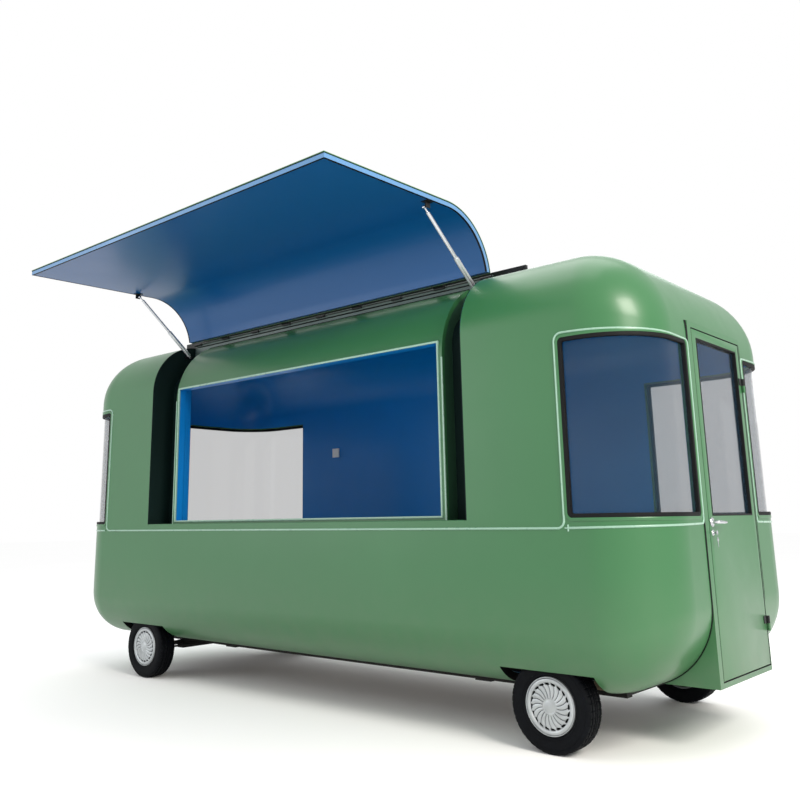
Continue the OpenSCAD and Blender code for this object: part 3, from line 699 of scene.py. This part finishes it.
def lower_end(name, sx, xa, node, portal):
    if sx > 0:
        st = side(-1, xa, 2360, 4)[:-1] + corner(1, -1, 90, 0) + endw(1, -420, 420, 6) + corner(1, 1, 0, 90) + side(1, 2360, xa, 4)[1:]
    else:
        st = side(1, xa, -2280, 4)[:-1] + corner(-1, 1, 90, 0) + endw(-1, 500, -500, 4) + corner(-1, -1, 0, 90) + side(-1, -2280, xa, 4)[1:]
    # the plan corner is narrower low down, so side stations stop short of it
    st = [s for s in st if not (s[0] == 1 and abs(s[3]) > 2250)]
    ob = patch(name, st, lower, 0, WT, [M["green"]])
    cut = arch_boxes() + ([PORTAL] if portal else [])
    for c in cut:
        if (c[0][0] > 0) == (sx > 0):
            boolean(ob, boxes("cut", [c]))
    # the cut edge of each wheel arch is sealed black
    ob.data.materials.append(M["rubber"])
    dark = len(ob.data.materials) - 1
    for p in ob.data.polygons:
        X, Y, Z = p.center.x * 1000 + 64.5, p.center.y * 1000 - 574.9, p.center.z * 1000
        for lo, hi in arch_boxes():
            inside = lo[0] - 1 < X < hi[0] + 1 and lo[1] - 1 < Y < hi[1] + 1 and Z < hi[2] + 1
            on = min(abs(X - lo[0]), abs(X - hi[0]), abs(Y - lo[1]), abs(Y - hi[1]), abs(Z - hi[2])) < 1
            if inside and on:
                p.material_index = dark
    return stand(skin_normals(ob), RB, [node])


lower_end("door_end_lower_skin", 1, LOB, "lower_end_door", True)
lower_end("front_end_lower_skin", -1, LOA, "lower_end_front", False)

upper = [(1, WZ), (1, 1700.0), (1, EZ)]
stand(skin_normals(patch("back_side_upper_skin", side(1, BH, -BH, 6), upper, 0, WT, [M["green"]])), RB, ["upper_side_back"])

WINA, WINB, WINC, WIND, WINE = 2287.0, 447.0, 1880.0, 60.0, -2270.0
WZ0, WZ1 = 1228.0, 2210.0


def win_st(w, g, n=24):
    if w == 0:
        return [(1, 1, -1, WINA + g)] + corner(1, -1, 90, 0, n) + [(2, 1, -1, -WINB - g)]
    if w == 1:
        return [(2, 1, 1, WINB + g)] + corner(1, 1, 0, 90, n) + [(1, 1, 1, WINC + g)]
    if w == 2:
        return [(1, -1, 1, -WINC - g)] + corner(-1, 1, 90, 0, n) + [(2, -1, 1, WIND + g)]
    return [(2, -1, -1, -WIND - g)] + corner(-1, -1, 0, 90, n) + [(1, -1, -1, WINE - g)]


def upper_end(name, sx, node):
    x = BH
    if sx > 0:
        st = [(1, 1, -1, x), (1, 1, -1, 2000.0)] + corner(1, -1, 90, 0) + endw(1, -500, 500, 4) + corner(1, 1, 0, 90) + [(1, 1, 1, 2000.0), (1, 1, 1, x)]
        ws = (0, 1)
    else:
        st = [(1, -1, 1, -x), (1, -1, 1, -2000.0)] + corner(-1, 1, 90, 0) + endw(-1, 500, -500, 4) + corner(-1, -1, 0, 90) + [(1, -1, -1, -2000.0), (1, -1, -1, -x)]
        ws = (2, 3)
    ob = patch(name, st, upper, 0, WT, [M["green"]])
    for w in ws:
        boolean(ob, patch("cut", win_st(w, 0), [(1, WZ0), (1, WZ1)], -30, WT + 30))
    if sx > 0:
        boolean(ob, boxes("cut", [PORTAL]))
    return stand(skin_normals(ob), RB, [node])


upper_end("door_end_upper_skin", 1, "upper_end_door")
upper_end("front_end_upper_skin", -1, "upper_end_front")

roof = dome("roof_skin", [(1, EZ)] + OVER + [(3, .8), (3, .45), (3, .15)], 0, WT, [M["green"]])
boolean(roof, boxes("cut", [((-BH, -1200, SZ), (BH, -588, 2900))]))
boolean(roof, boxes("cut", [PORTAL]))
stand(skin_normals(roof), RB, ["roof"])

lining = dome("lining_skin", [(1, 772.0), (1, WZ), (1, EZ)] + OVER + [(3, .8), (3, .45), (3, .15)], WT + .6, WT + 4.6, [M["blue_in"]])
for w in range(4):
    boolean(lining, patch("cut", win_st(w, -8), [(1, WZ0 - 8), (1, WZ1 + 8)], -30, WT + 30))
boolean(lining, boxes("cut", [((2500, -411, 250), (2900, 406, 2340))]))
boolean(lining, boxes("cut", [((-BH - 1, -1200, SZ - 13), (BH + 1, -586, 2900))]))
skin_normals(lining)
# cover over the inside of the hatch bay, with the opening left in it
cover = prism_x("bay_cover", pband(67.5, 71, -601.5, SZ + 1), -1398.5, 1398.5, [M["blue_in"]])
boolean(cover, boxes("cut", [((-OHW, -1000, OZ0), (OHW, -700, OZ1))]))
smooth(cover, 30)
ends = []
for s in (-1, 1):
    x0, x1 = sorted((s * 1395.5, s * 1398.5))
    ends.append(smooth(prism_x("ec", pprof(67.5, -601.5, SZ + 1) + list(reversed(prof(CHN + 25, -601.5, SZ + 1))), x0, x1, [M["blue_in"]]), 30))
    x0, x1 = sorted((s * 1395.5, s * BH))
    ends.append(smooth(prism_x("ec", band(CHN + 21.5, CHN + 25, -591, SZ + 1), x0, x1, [M["blue_in"]]), 30))
ends.append(boxes("ec", [((-BH, -589.2, 2530), (BH, -586.8, 2718))], [M["blue_in"]]))
cover = join("bay_cover", [cover] + ends)
reveal = boxes("reveal", [((-OHW - 12, PFY + 9, OZ0 - 12), (OHW + 12, PFY + 85, OZ1 + 12))], [M["blue_in"]])
boolean(reveal, boxes("cut", [((-OHW, -1000, OZ0), (OHW, -700, OZ1))]))
lining.data.update()
stand(lining, RB, ["inner_lining"])
stand(cover, RB, ())
stand(reveal, RB, ())

# ------------------------------------------------------------------ windows
stand(join("corner_window_panes", [skin_normals(patch("g", win_st(w, 16), [(1, WZ0 + 16), (1, WZ1 - 16)], 16, 20, [M["glass"]])) for w in range(4)]), RB, ["corner_windows"])
bpy.data.objects["corner_window_panes"].data.polygons.foreach_set("use_smooth", [True] * len(bpy.data.objects["corner_window_panes"].data.polygons))
skin_normals(bpy.data.objects["corner_window_panes"])

U_SE = lambda y: (ED - RP) + RP * math.pi / 2 + (HW - RP - y)
U_SW = lambda y: (EF - RP) + RP * math.pi / 2 + (HW - RP - y)
WIN = [
    (1, -1, WINA, U_SE(WINB)),
    (1, 1, WINC, U_SE(WINB)),
    (-1, 1, WINC, U_SW(WIND)),
    (-1, -1, -WINE, U_SW(WIND)),
]
gask, frames = [], []
gsec = [(-13, 1.0), (-12, 3.2), (-6, 4.2), (6, 3.6), (11, 0.5), (14, -8), (14, -20), (-13, -20)]
fsec = [(-9, -1), (-9, 3.0), (-7, 4.4), (7, 4.4), (9, 3.0), (9, -1)]
for sx, sy, u0, u1 in WIN:
    p = rounded([(u0 + 10, WZ0 + 10), (u1 - 10, WZ0 + 10), (u1 - 10, WZ1 - 10), (u0 + 10, WZ1 - 10)], [24] * 4, True)
    if sx * sy > 0:
        p = p[::-1]
    flip = [(-a, b) for a, b in gsec]
    gask.append(sweep("gk", p, True, gsec if True else flip, sx, sy, [M["rubber"]]))
    q = rounded([(u0 - 7, WZ0 - 8), (u1 + 7, WZ0 - 8), (u1 + 7, WZ1 + 8), (u0 - 7, WZ1 + 8)], [34] * 4, True)
    frames.append(sweep("fr", q, True, fsec, sx, sy, [M["green"]]))
stand(join("window_gasket_rings", gask), RB, ["window_gaskets"])
stand(join("window_frame_bands", frames), RB, ())

bead = halfround(6.5, 6.6)
beads = []
# serving side waist run, round the window and back along its foot
uL, uR = 2266.0, U_SE(422)
run = rounded([(-2100, WZ), (uL, WZ), (uL, 2238), (uR, 2214), (uR, 1190), (uL + 24, 1176)], [0, 42, 46, 30, 24, 0], False)
beads.append(sweep("bd", run, False, bead, 1, -1, [M["mint"]]))
beads.append(sweep("bd", [(uL + 22, 1158), (uL + 22, 1176), (uL + 22, 1194)], False, halfround(5, 6.0), 1, -1, [M["mint"]]))
beads.append(sweep("bd", [(uL + 2, 1176), (uL + 24, 1176)], False, halfround(4, 4.5), 1, -1, [M["mint"]]))
run = rounded([(-2100, WZ), (WINC - 22, WZ), (WINC - 22, 2238), (uR, 2214), (uR, 1190), (WINC + 2, 1176)], [0, 42, 46, 30, 24, 0], False)
beads.append(sweep("bd", run, False, bead, 1, 1, [M["mint"]]))
uF = U_SW(WIND - 22)
for sy, u0 in ((-1, -WINE - 22), (1, WINC - 22)):
    run = rounded([(2090, WZ), (u0, WZ), (u0, 2238), (uF, 2238), (uF, WZ), (u0 + 24, WZ)], [0, 42, 46, 30, 24, 0], False)
    beads.append(sweep("bd", run, False, bead, -1, sy, [M["mint"]]))
stand(join("pale_bead_runs", beads), RB, ["waist_trim"])

# ------------------------------------------------------------------ serving bay
sill = prism_x("sill_ledge", [(-HW, WZ), (-HW, SZ - 3.5), (-HW + 1.5, SZ - 2), (-(HW - CHN - 20), SZ - 2), (-(HW - CHN - 20), SZ - 12), (-HW + WT, SZ - 12), (-HW + WT, WZ)], -BH, BH, [M["green"]])
sill = join("sill_ledge", [sill, prism_x("sl", [(-HW + 3, SZ - 6), (-HW + 3, SZ - 1.2), (-HW + 4.2, SZ), (-HW + PIN - 13.2, SZ), (-HW + PIN - 12, SZ - 1.2), (-HW + PIN - 12, SZ - 6)], -1600, 1600, [M["green"]])])
stand(smooth(sill, 25), RB, ["serving_sill"])
panel = prism_x("bay_panel", pband(0, 30, -590.5, SZ - 2), -PHW, PHW, [M["green"]])
boolean(panel, boxes("cut", [((-OHW - 14, -1000, OZ0 - 14), (OHW + 14, -800, OZ1 + 14))]))
smooth(panel, 25)
parts = [panel]
for s in (-1, 1):
    x0, x1 = sorted((s * (PHW - 10), s * (PHW - .2)))
    # the raised panel's end faces take the darker green, painted shade of the recess
    parts.append(smooth(prism_x("bp", pprof(.6, -590.5, SZ - 2) + list(reversed(prof(CHN + 20, -590.5, SZ - 2))), x0, x1, [M["green_in"]]), 25))
    # the channel back and its side return take the near-black painted-shade green
    for a, b, t0, t1, m in ((PHW, BH, CHN, CHN + 20, "chan"), (BH - 6, BH, 0, CHN + 20, "chan")):
        x0, x1 = sorted((s * a, s * b))
        piece = smooth(prism_x("bp", band(t0, t1, -590, SZ - 2), x0, x1, [M[m], M["blue_in"]]), 25)
        # the cabin side of the channel's outer wall is lined like the rest of the inside
        for p in piece.data.polygons:
            if p.normal.x * s > 0.9:
                p.material_index = 1
        parts.append(piece)
parts.append(boxes("bp", [((-BH, -600, 2545), (BH, -590.2, 2764))], [M["strip"]]))
# thin dark joint where the panel meets the strip below the hinge
parts.append(boxes("bp", [((-PHW, -603.5, 2736), (PHW, -599.8, 2742))], [M["seal"]]))
stand(join("hatch_bay_panels", parts), RB, ["hatch_bay"])


def ring_y(name, x, z0, z1, w, y0, y1, m, b=1.5):
    ob = boxes(name, [((-x - w, y0, z0 - w), (x + w, y1, z1 + w))], [m])
    boolean(ob, boxes("cut", [((-x, y0 - 100, z0), (x, y1 + 100, z1))]))
    return bevel(ob, b, 2)


fr = [ring_y("sf", OHW, OZ0, OZ1, 13.4, PFY - 6, PFY + 9, M["mint"], 2.5)]
for s in (-1, 1):
    x0, x1 = sorted((s * (PHW - 8), s * (PHW + 1.5)))
    fr.append(boxes("sf", [((x0, PFY - 2.5, SZ), (x1, PFY + 6, 2236))], [M["mint"]]))
stand(join("serving_frame_trim", fr), RB, ["serving_frame"])

# ------------------------------------------------------------------ hatch, drawn shut and swung open about its hinge
REST = 89.0


def swing(ob, deg=-REST):
    """turn a piece drawn with the hatch shut into the open pose"""
    c = W((0, HY, HZ))
    ob.data.transform(Matrix.Translation(c) @ Matrix.Rotation(math.radians(deg), 4, "X") @ Matrix.Translation(-c))
    ob.data.update()
    return ob


hp = []
HWH = 1612.0
hp.append(smooth(prism_x("h", band(0, 5, -634, SZ + 7), -HWH, HWH, [M["green"]], 6), 25))
hp.append(smooth(prism_x("h", band(5, 10, -636, SZ + 8.5), -HWH + 1, HWH - 1, [M["seal"]], 6), 25))
core = smooth(prism_x("h", band(10, 37.5, -638, SZ + 10), -HWH + 1.5, HWH - 1.5, [M["blue"], M["blue_edge"]], 6), 25)
# the end faces and the bottom edge face take the lighter blue, painted light as if the sun fell on them
for p in core.data.polygons:
    c = p.center
    if abs(p.normal.x) > 0.9 or (p.normal.z < -0.95 and c.z < 1.3):
        p.material_index = 1
hp.append(core)
# shallow lip round the inner face, with a black bulb seal
lip = []
for s in (-1, 1):
    x0, x1 = sorted((s * (HWH - 15), s * (HWH - 1.5)))
    lip.append(smooth(prism_x("l", band(36, 38, -640, SZ + 12), x0, x1, [M["seal"]]), 25))
lip.append(boxes("l", [((-HWH + 2, -HW + 36, SZ + 10), (HWH - 2, -HW + 38, SZ + 22))], [M["seal"]]))
hp += lip
for x in (-1170, -390, 390, 1170):
    n = 24
    hp.append(smooth(prism_x("k", [(HY + 9 * math.cos(2 * math.pi * k / n), HZ + 9 * math.sin(2 * math.pi * k / n)) for k in range(n)], x - 45, x + 45, [M["black"]]), 40))
    hp.append(smooth(prism_x("k", [(-690, 2748), (-640, 2758), (HY - 4, 2780), (HY, 2796.5), (-640, 2790), (-690, 2764)], x - 44.5, x + 44.5, [M["black"]]), 30))
hatch = join("hatch_shell", hp)
swing(hatch)
stand(hatch, "hatch", ["hatch_panel"])

flange = prism_x("hinge_flange_cover", [(-604.9, 2773), (-604.9, 2799.6), (-603.9, 2800.6), (-599, 2800.6), (-598.2, 2799.8), (-598.2, 2773)], -1606, 1606, [M["strip"]], 8)
stand(smooth(flange, 25), RB, ())

# ------------------------------------------------------------------ door and its frame
DX, DY0, DY1, DZ0, DZ1, DT = 2784.0, -353.0, 388.0, 366.0, 2292.0, 40.0
leaf = boxes("door_leaf_shell", [((DX - DT, DY0, DZ0), (DX, DY1, DZ1))], [M["green"]])
boolean(leaf, boxes("cut", [((2700, -296, 1230), (2800, 340, 2245))]))
bevel(leaf, 2.5, 3)
gask = []


def ring_x(name, y0, y1, z0, z1, w, x0, x1, m, b=1.0):
    ob = boxes(name, [((x0, y0 - w, z0 - w), (x1, y1 + w, z1 + w))], [m])
    boolean(ob, boxes("cut", [((x0 - 100, y0, z0), (x1 + 100, y1, z1))]))
    return bevel(ob, b, 2)


seal = join("door_seals", [
    ring_x("ds", -286, 330, 1240, 2235, 9.8, DX - DT - .5, DX + 1.2, M["seal"]),
    ring_x("ds", DY0 + 6, DY1 - 6, DZ0 + 6, DZ1 - 6, 6.6, DX - DT - 1, DX - DT + 12, M["seal"]),
])
stand(leaf, "door", ["door_leaf"])
stand(seal, "door", ())


def skin_seal(y0, y1, w0, w1):
    """rubber strip that follows the skin down beside the door frame and round under it"""
    lv = [(0, a) for a in range(14, 91, 4)] + [(0, 90), (1, 900), (1, 1500), (1, 2100), (1, 2250), (2, 90), (2, 86), (2, 81.8)]
    rows = []
    for k, l in enumerate(lv):
        w = w1 if l[0] == 0 else lerp(w1, w0, min(1.0, max(0.0, (pt((2, 1, 1, y0), l, 0)[2] - 765) / 1500)))
        ya, yb = (y0, y0 + w) if y1 > y0 else (y0, y0 - w)
        rows.append([pt((2, 1, 1, ya), l, 4), pt((2, 1, 1, ya), l, -3.6), pt((2, 1, 1, (ya + yb) / 2), l, -5.2), pt((2, 1, 1, yb), l, -2.4), pt((2, 1, 1, yb), l, 4)])
    vs = [v for r in rows for v in r]
    fs = []
    for i in range(len(rows) - 1):
        for j in range(5):
            j2 = (j + 1) % 5
            fs.append((i * 5 + j, i * 5 + j2, i * 5 + 5 + j2, i * 5 + 5 + j))
    fs.append(tuple(range(5)))
    fs.append(tuple((len(rows) - 1) * 5 + j for j in reversed(range(5))))
    return smooth(mesh_obj("ss", vs, fs, [M["seal"]]), 50)


line = join("portal_seals", [
    skin_seal(-410.4, -430, 19, 11),
    skin_seal(405.4, 420, 8, 8),
    ring_x("ps", DY0 - 4.2, DY1 + 4.2, DZ0 - 4.2, DZ1 + 4.2, 3.0, DX - 10, DX + .6, M["seal"], .5),
])
stand(line, RB, ())


def lathe_x(cy, cz, prof, mats, n=48):
    """revolve (radius, x) about a line along X"""
    m = len(prof)
    vs = [(x, cy + r * math.cos(2 * math.pi * i / n), cz + r * math.sin(2 * math.pi * i / n)) for i in range(n) for r, x in prof]
    fs = []
    for i in range(n):
        i2 = (i + 1) % n
        for j in range(m - 1):
            fs.append((i * m + j, i2 * m + j, i2 * m + j + 1, i * m + j + 1))
    return smooth(mesh_obj("lx", vs, fs, mats), 35)


def lever(cy, cz, x0, x1, length, s):
    """cranked lever drawn as rings along its own line"""
    line_ = [(x0, 0, 0), (x0 + s * 14, 0, 0), (x1 - s * 12, 2, 0), (x1 - s * 4, 8, 0), (x1, 20, 0), (x1, length * .5, -1.5), (x1 - s * 1.5, length * .85, -2.5), (x1 - s * 5, length, -2.0)]
    rad = [9, 8, 8.5, 9, 9, 8, 7.5, 6]
    vs, fs = [], []
    n = 20
    P = [Vector((a, cy + b, cz + c)) for a, b, c in line_]
    for i, p in enumerate(P):
        a = P[max(i - 1, 0)]
        b = P[min(i + 1, len(P) - 1)]
        T = (b - a).normalized()
        B = Vector((0, 0, 1))
        N = T.cross(B).normalized()
        for k in range(n):
            t = 2 * math.pi * k / n
            vs.append(tuple(p + N * rad[i] * .85 * math.cos(t) + B * rad[i] * math.sin(t)))
    for i in range(len(P) - 1):
        for k in range(n):
            k2 = (k + 1) % n
            fs.append((i * n + k, i * n + k2, (i + 1) * n + k2, (i + 1) * n + k))
    fs.append(tuple(range(n)))
    fs.append(tuple((len(P) - 1) * n + k for k in reversed(range(n))))
    return smooth(mesh_obj("lv", vs, fs, [M["silver"]]), 60)


DZH = 1195.0
hs = [lathe_x(-322, DZH, [(.01, DX), (26, DX), (26, DX + 5), (23.5, DX + 8.2), (14, DX + 9.6), (10, DX + 11), (.01, DX + 11)], [M["silver"]])]
hs.append(lever(-322, DZH, DX + 8, 2828, 122, 1))
hs.append(lathe_x(-322, 1138, [(.01, DX), (17, DX), (17, DX + 4), (14.5, DX + 6.6), (9, DX + 7.2), (9, DX + 10), (7.6, DX + 11.4), (.01, DX + 11.4)], [M["silver"]]))
# key in the lock with a small ring and a second key hanging from it
key = prism_x("ky", [(-3, -6), (3, -6), (3, 6), (-3, 6)], DX + 10, DX + 18, [M["silver"]])
for v in key.data.vertices:
    v.co += Vector((0, -.322, 1.138))
hs.append(key)


def disc(cy, cz, x, r, th, hole=0.0, hy=0.0, hz=0.0, sy=1.0, n=28):
    """flat key bow with a hole"""
    vs, fs = [], []
    for xx in (x - th / 2, x + th / 2):
        for k in range(n):
            a = 2 * math.pi * k / n
            vs.append((xx, cy + r * sy * math.cos(a), cz + r * math.sin(a)))
        for k in range(n):
            a = 2 * math.pi * k / n
            vs.append((xx, cy + hy + hole * math.cos(a), cz + hz + hole * math.sin(a)))
    for k in range(n):
        k2 = (k + 1) % n
        fs.append((k, k2, n + k2, n + k))
        fs.append((2 * n + k, 3 * n + k, 3 * n + k2, 2 * n + k2))
        fs.append((k, 2 * n + k, 2 * n + k2, k2))
        fs.append((n + k, n + k2, 3 * n + k2, 3 * n + k))
    return smooth(mesh_obj("dk", vs, fs, [M["silver"]]), 40)


bow = disc(-322, 1138, DX + 26, 12, 2.4, 3.4, 0, -6)
hs.append(bow)
hs.append(prism_x("kb", [(-325, 1134), (-319, 1134), (-319, 1142), (-325, 1142)], DX + 15, DX + 26, [M["silver"]]))
hs.append(disc(-322, 1122, DX + 26, 11, 1.2, 9.6))
hs.append(disc(-320, 1100, DX + 26, 11, 2.2, 3.0, 0, 6))
hs.append(prism_x("kb", [(-322.5, 1062), (-317.5, 1062), (-316.8, 1090), (-323.2, 1090)], DX + 25, DX + 27, [M["silver"]]))
# inside lever
hs.append(lathe_x(-314, DZH, [(.01, DX - DT), (13.8, DX - DT), (13.8, DX - DT - 4), (11, DX - DT - 6), (.01, DX - DT - 6)], [M["silver"]]))
hs.append(lever(-314, DZH, DX - DT - 4, 2701, 112, -1))
handle = join("door_handle_set", hs)
bm_ = bmesh.new()
bm_.from_mesh(handle.data)
bmesh.ops.recalc_face_normals(bm_, faces=bm_.faces)
bm_.to_mesh(handle.data)
bm_.free()
stand(handle, "door", ["door_handle"])

# ------------------------------------------------------------------ wheels
def wheel(tag, x, s, body):
    c = (x, s * WY, TR)
    # tyre: rounded carcass with grooves round it and cross cuts in the tread
    pr = [(152, -56), (158, -64), (168, -68), (169.5, -66.8), (172, -67.6), (173.5, -69.6), (190, -72), (206, -72.4), (214, -72), (215, -70.8), (217, -70.6), (218, -71.7), (226, -70.6), (232, -68), (238.6, -62)]
    tread = [-58, -50, -44, -43, -36, -35, -28, -20, -13, -12, -5, -4, 4, 5, 12, 13, 20, 28, 35, 36, 43, 44, 50, 58]
    groove = {-43, -36, -12, -5, 5, 12, 36, 43}
    sec = list(pr)
    gi = []
    for d in tread:
        r = 241.9 - (abs(d) / 58.0) ** 2 * 1.6
        gi.append(len(sec))
        sec.append((r - (7.0 if d in groove else 0.0), d))
    sec += [(r, -d) for r, d in reversed(pr)]
    sec += [(150.5, 50), (152.5, 0), (150.5, -50)]
    n = 280
    vs, fs, ids = [], [], []
    m = len(sec)
    for i in range(n):
        a = 2 * math.pi * (i + .5) / n
        ph = i % 7
        for j, (r, d) in enumerate(sec):
            rr = r
            if j in gi and sec[j][0] > 236:
                k = (i + (3 if abs(d) < 20 else 0)) % 7
                if k == 0 and not (abs(d) < 5):
                    rr = r - 4.5
            if j in (13, 14) or j in (m - 3 - 14, m - 3 - 15):
                if i % 7 in (0,):
                    rr = r - 3.0
            vs.append((c[0] + rr * math.cos(a), c[1] + s * d, c[2] + rr * math.sin(a)))
    for i in range(n):
        i2 = (i + 1) % n
        for j in range(m):
            j2 = (j + 1) % m
            fs.append((i * m + j, i2 * m + j, i2 * m + j2, i * m + j2))
    t = mesh_obj("tyre_mesh_" + tag, vs, fs, [M["tyre"]])
    smooth(t, 38)
    stand(t, body, ["tyre_" + tag])
    # cover: outer ring, swirled vanes over dark slots, crown in the middle
    parts = []
    rim = lathe("rm", [(151, -65), (150.5, 63), (149, 65.5), (146, 65.8), (143.6, 62), (143.6, -62)], c, s, [M["cap"]], 120)
    parts.append(smooth(rim, 40))
    dish = lathe("ds", [(0.01, 63.5), (60, 63), (100, 60.5), (132, 57.5), (143.4, 57), (143.4, 52), (0.01, 52)], c, s, [M["slot"]], 120)
    parts.append(smooth(dish, 40))
    ring = lathe("rg", [(119, 58), (120.5, 64.0), (124, 66.6), (133, 67.8), (141, 66.0), (143.4, 61.5), (143.4, 57)], c, s, [M["cap"]], 144)
    parts.append(smooth(ring, 50))
    hub = lathe("hb", [(0.01, 73), (14, 72.6), (26, 71.0), (33, 69.0), (36, 70.2), (40, 70.2), (44, 67.5), (47, 63), (47, 58), (0.01, 58)], c, s, [M["cap"]], 96)
    parts.append(smooth(hub, 30))
    vs, fs = [], []
    nv = 20
    for k in range(nv):
        base = 2 * math.pi * k / nv
        radii = [42, 52, 62, 72, 82, 92, 99, 105, 107.5, 109, 110.5, 114, 118, 122]
        rows = len(radii)
        start = len(vs)
        for q in range(rows):
            r = radii[q]
            f = (r - 42) / (122 - 42)
            sw = base + 0.30 * f * f
            # wide blades with a thin gap, then a narrow neck that leaves a short vent
            half = math.pi * r / 20 - 0.9 if r < 108 else (13.0 if r < 110 else 5.6)
            dome_z = lerp(69.4, 63.2, f) + 1.4 * math.sin(math.pi * f)
            for w2, h in ((-1.0, -3.6), (-.86, 0.0), (-.3, 1.7), (.3, 1.2), (.86, -.6), (1.0, -4.2)):
                a = sw + w2 * half / r
                vs.append((c[0] + r * math.cos(a), c[1] + s * (dome_z + h), c[2] + r * math.sin(a)))
        for q in range(rows - 1):
            for j in range(5):
                a0 = start + q * 6 + j
                fs.append((a0, a0 + 1, a0 + 7, a0 + 6))
        # underside closes the vane
        for q in range(rows - 1):
            fs.append((start + q * 6, start + (q + 1) * 6, start + (q + 1) * 6 + 5, start + q * 6 + 5))
        fs.append(tuple(start + j for j in range(6)))
        fs.append(tuple(start + (rows - 1) * 6 + j for j in reversed(range(6))))
    parts.append(smooth(mesh_obj("vn", vs, fs, [M["cap"]]), 35))
    # inner side: disc, drum face and stub
    back = lathe("bk", [(17.6, 6), (48, 6), (48, 1), (95, 1), (95, 8), (60, 12), (60, 40), (110, 36), (143.6, 30), (143.6, 38), (110, 46), (17.6, 46)], c, s, [M["steel"]], 72)
    parts.append(smooth(back, 35))
    w = join("wheel_mesh_" + tag, parts)
    stand(w, body, ["wheel_" + tag])


wheel("door_near", AXD, -1, "wheel_door_near")
wheel("door_far", AXD, 1, "wheel_door_far")
wheel("front_near", AXF, -1, "wheel_front_near")
wheel("front_far", AXF, 1, "wheel_front_far")

# ------------------------------------------------------------------ carried-over CAD nodes
CARRY = {
    "chassis_frame": "steel", "tow_clevis": "steel", "floor_panel": "floor", "wheel_boxes": "steel", "door_portal": "green", "switch_plate": "white",
    "roof_rail": "black", "strut_mounts": "black", "axle_door_end": "steel", "axle_front_end": "steel",
    "knuckle_near": "steel", "knuckle_far": "steel", "tie_rod": "steel", "hatch_brackets": "black",
    "strut_tube_left": "alu", "strut_rod_left": "silver", "strut_tube_right": "alu", "strut_rod_right": "silver",
    "door_glass": "glass", "door_hinges": "black",
}
for n, k in CARRY.items():
    ob = NODES[n]
    ob.data.materials.clear()
    ob.data.materials.append(M[k])
    ob.data.polygons.foreach_set("material_index", [0] * len(ob.data.polygons))

# ------------------------------------------------------------------ stage
bpy.ops.mesh.primitive_plane_add(size=120, location=(0, 0, 0))
ground = bpy.context.active_object
ground.name = "stage_floor"
gm = mat("stage_pale", (0.985, 0.985, 0.985), rough=0.95, var=0.006, scale=0.4, bump=0.0, spec=0.0)
ground.data.materials.append(gm)

w = bpy.data.worlds.new("studio")
bpy.context.scene.world = w
w.use_nodes = True
w.node_tree.nodes["Background"].inputs[0].default_value = (1.0, 1.0, 1.0, 1)
w.node_tree.nodes["Background"].inputs[1].default_value = 1.0


def area(name, loc, target, size, power, col=(1, 1, 1), sy=None):
    l = bpy.data.lights.new(name, "AREA")
    l.shape = "RECTANGLE"
    l.size = size
    l.size_y = sy or size
    l.energy = power
    l.color = col
    o = link(bpy.data.objects.new(name, l))
    o.location = loc
    d = Vector(target) - Vector(loc)
    o.rotation_euler = d.to_track_quat("-Z", "Y").to_euler()
    return o


area("key", (8.5, -2.5, 5.5), (0.8, 0.0, 1.3), 3.0, 620, (1.0, 0.95, 0.86))
area("fill", (-6.5, -8.0, 3.5), (-0.8, 0, 1.2), 5.0, 160, (0.94, 0.97, 1.0))
area("top", (0.0, 1.0, 8.0), (0, 0, 0), 6.0, 200, (1, 1, 1))
area("rim", (-2.0, 8.0, 5.0), (0, 0, 1.5), 5.0, 160, (0.95, 0.98, 1.0))

# ------------------------------------------------------------------ camera
R = Vector((0.7438, 0.6683, -0.0135))
D = Vector((-0.1536, 0.1512, -0.9766))
F = Vector((-0.6505, 0.7284, 0.2151))
cam = bpy.data.cameras.new("view_camera")
cam.sensor_width = 36
cam.lens = 38.708
cam.shift_x = 0.03248
cam.shift_y = -0.0860
cam.clip_end = 200
co = link(bpy.data.objects.new("view_camera", cam))
C = W((4658, -5208, 1228))
F.normalize()
R = (R - F * R.dot(F)).normalized()
U = R.cross(F).normalized()
co.matrix_world = Matrix(((R.x, U.x, -F.x, C.x), (R.y, U.y, -F.y, C.y), (R.z, U.z, -F.z, C.z), (0, 0, 0, 1)))
bpy.context.scene.camera = co
try:
    bpy.context.scene.view_settings.view_transform = "Standard"
except Exception:
    pass
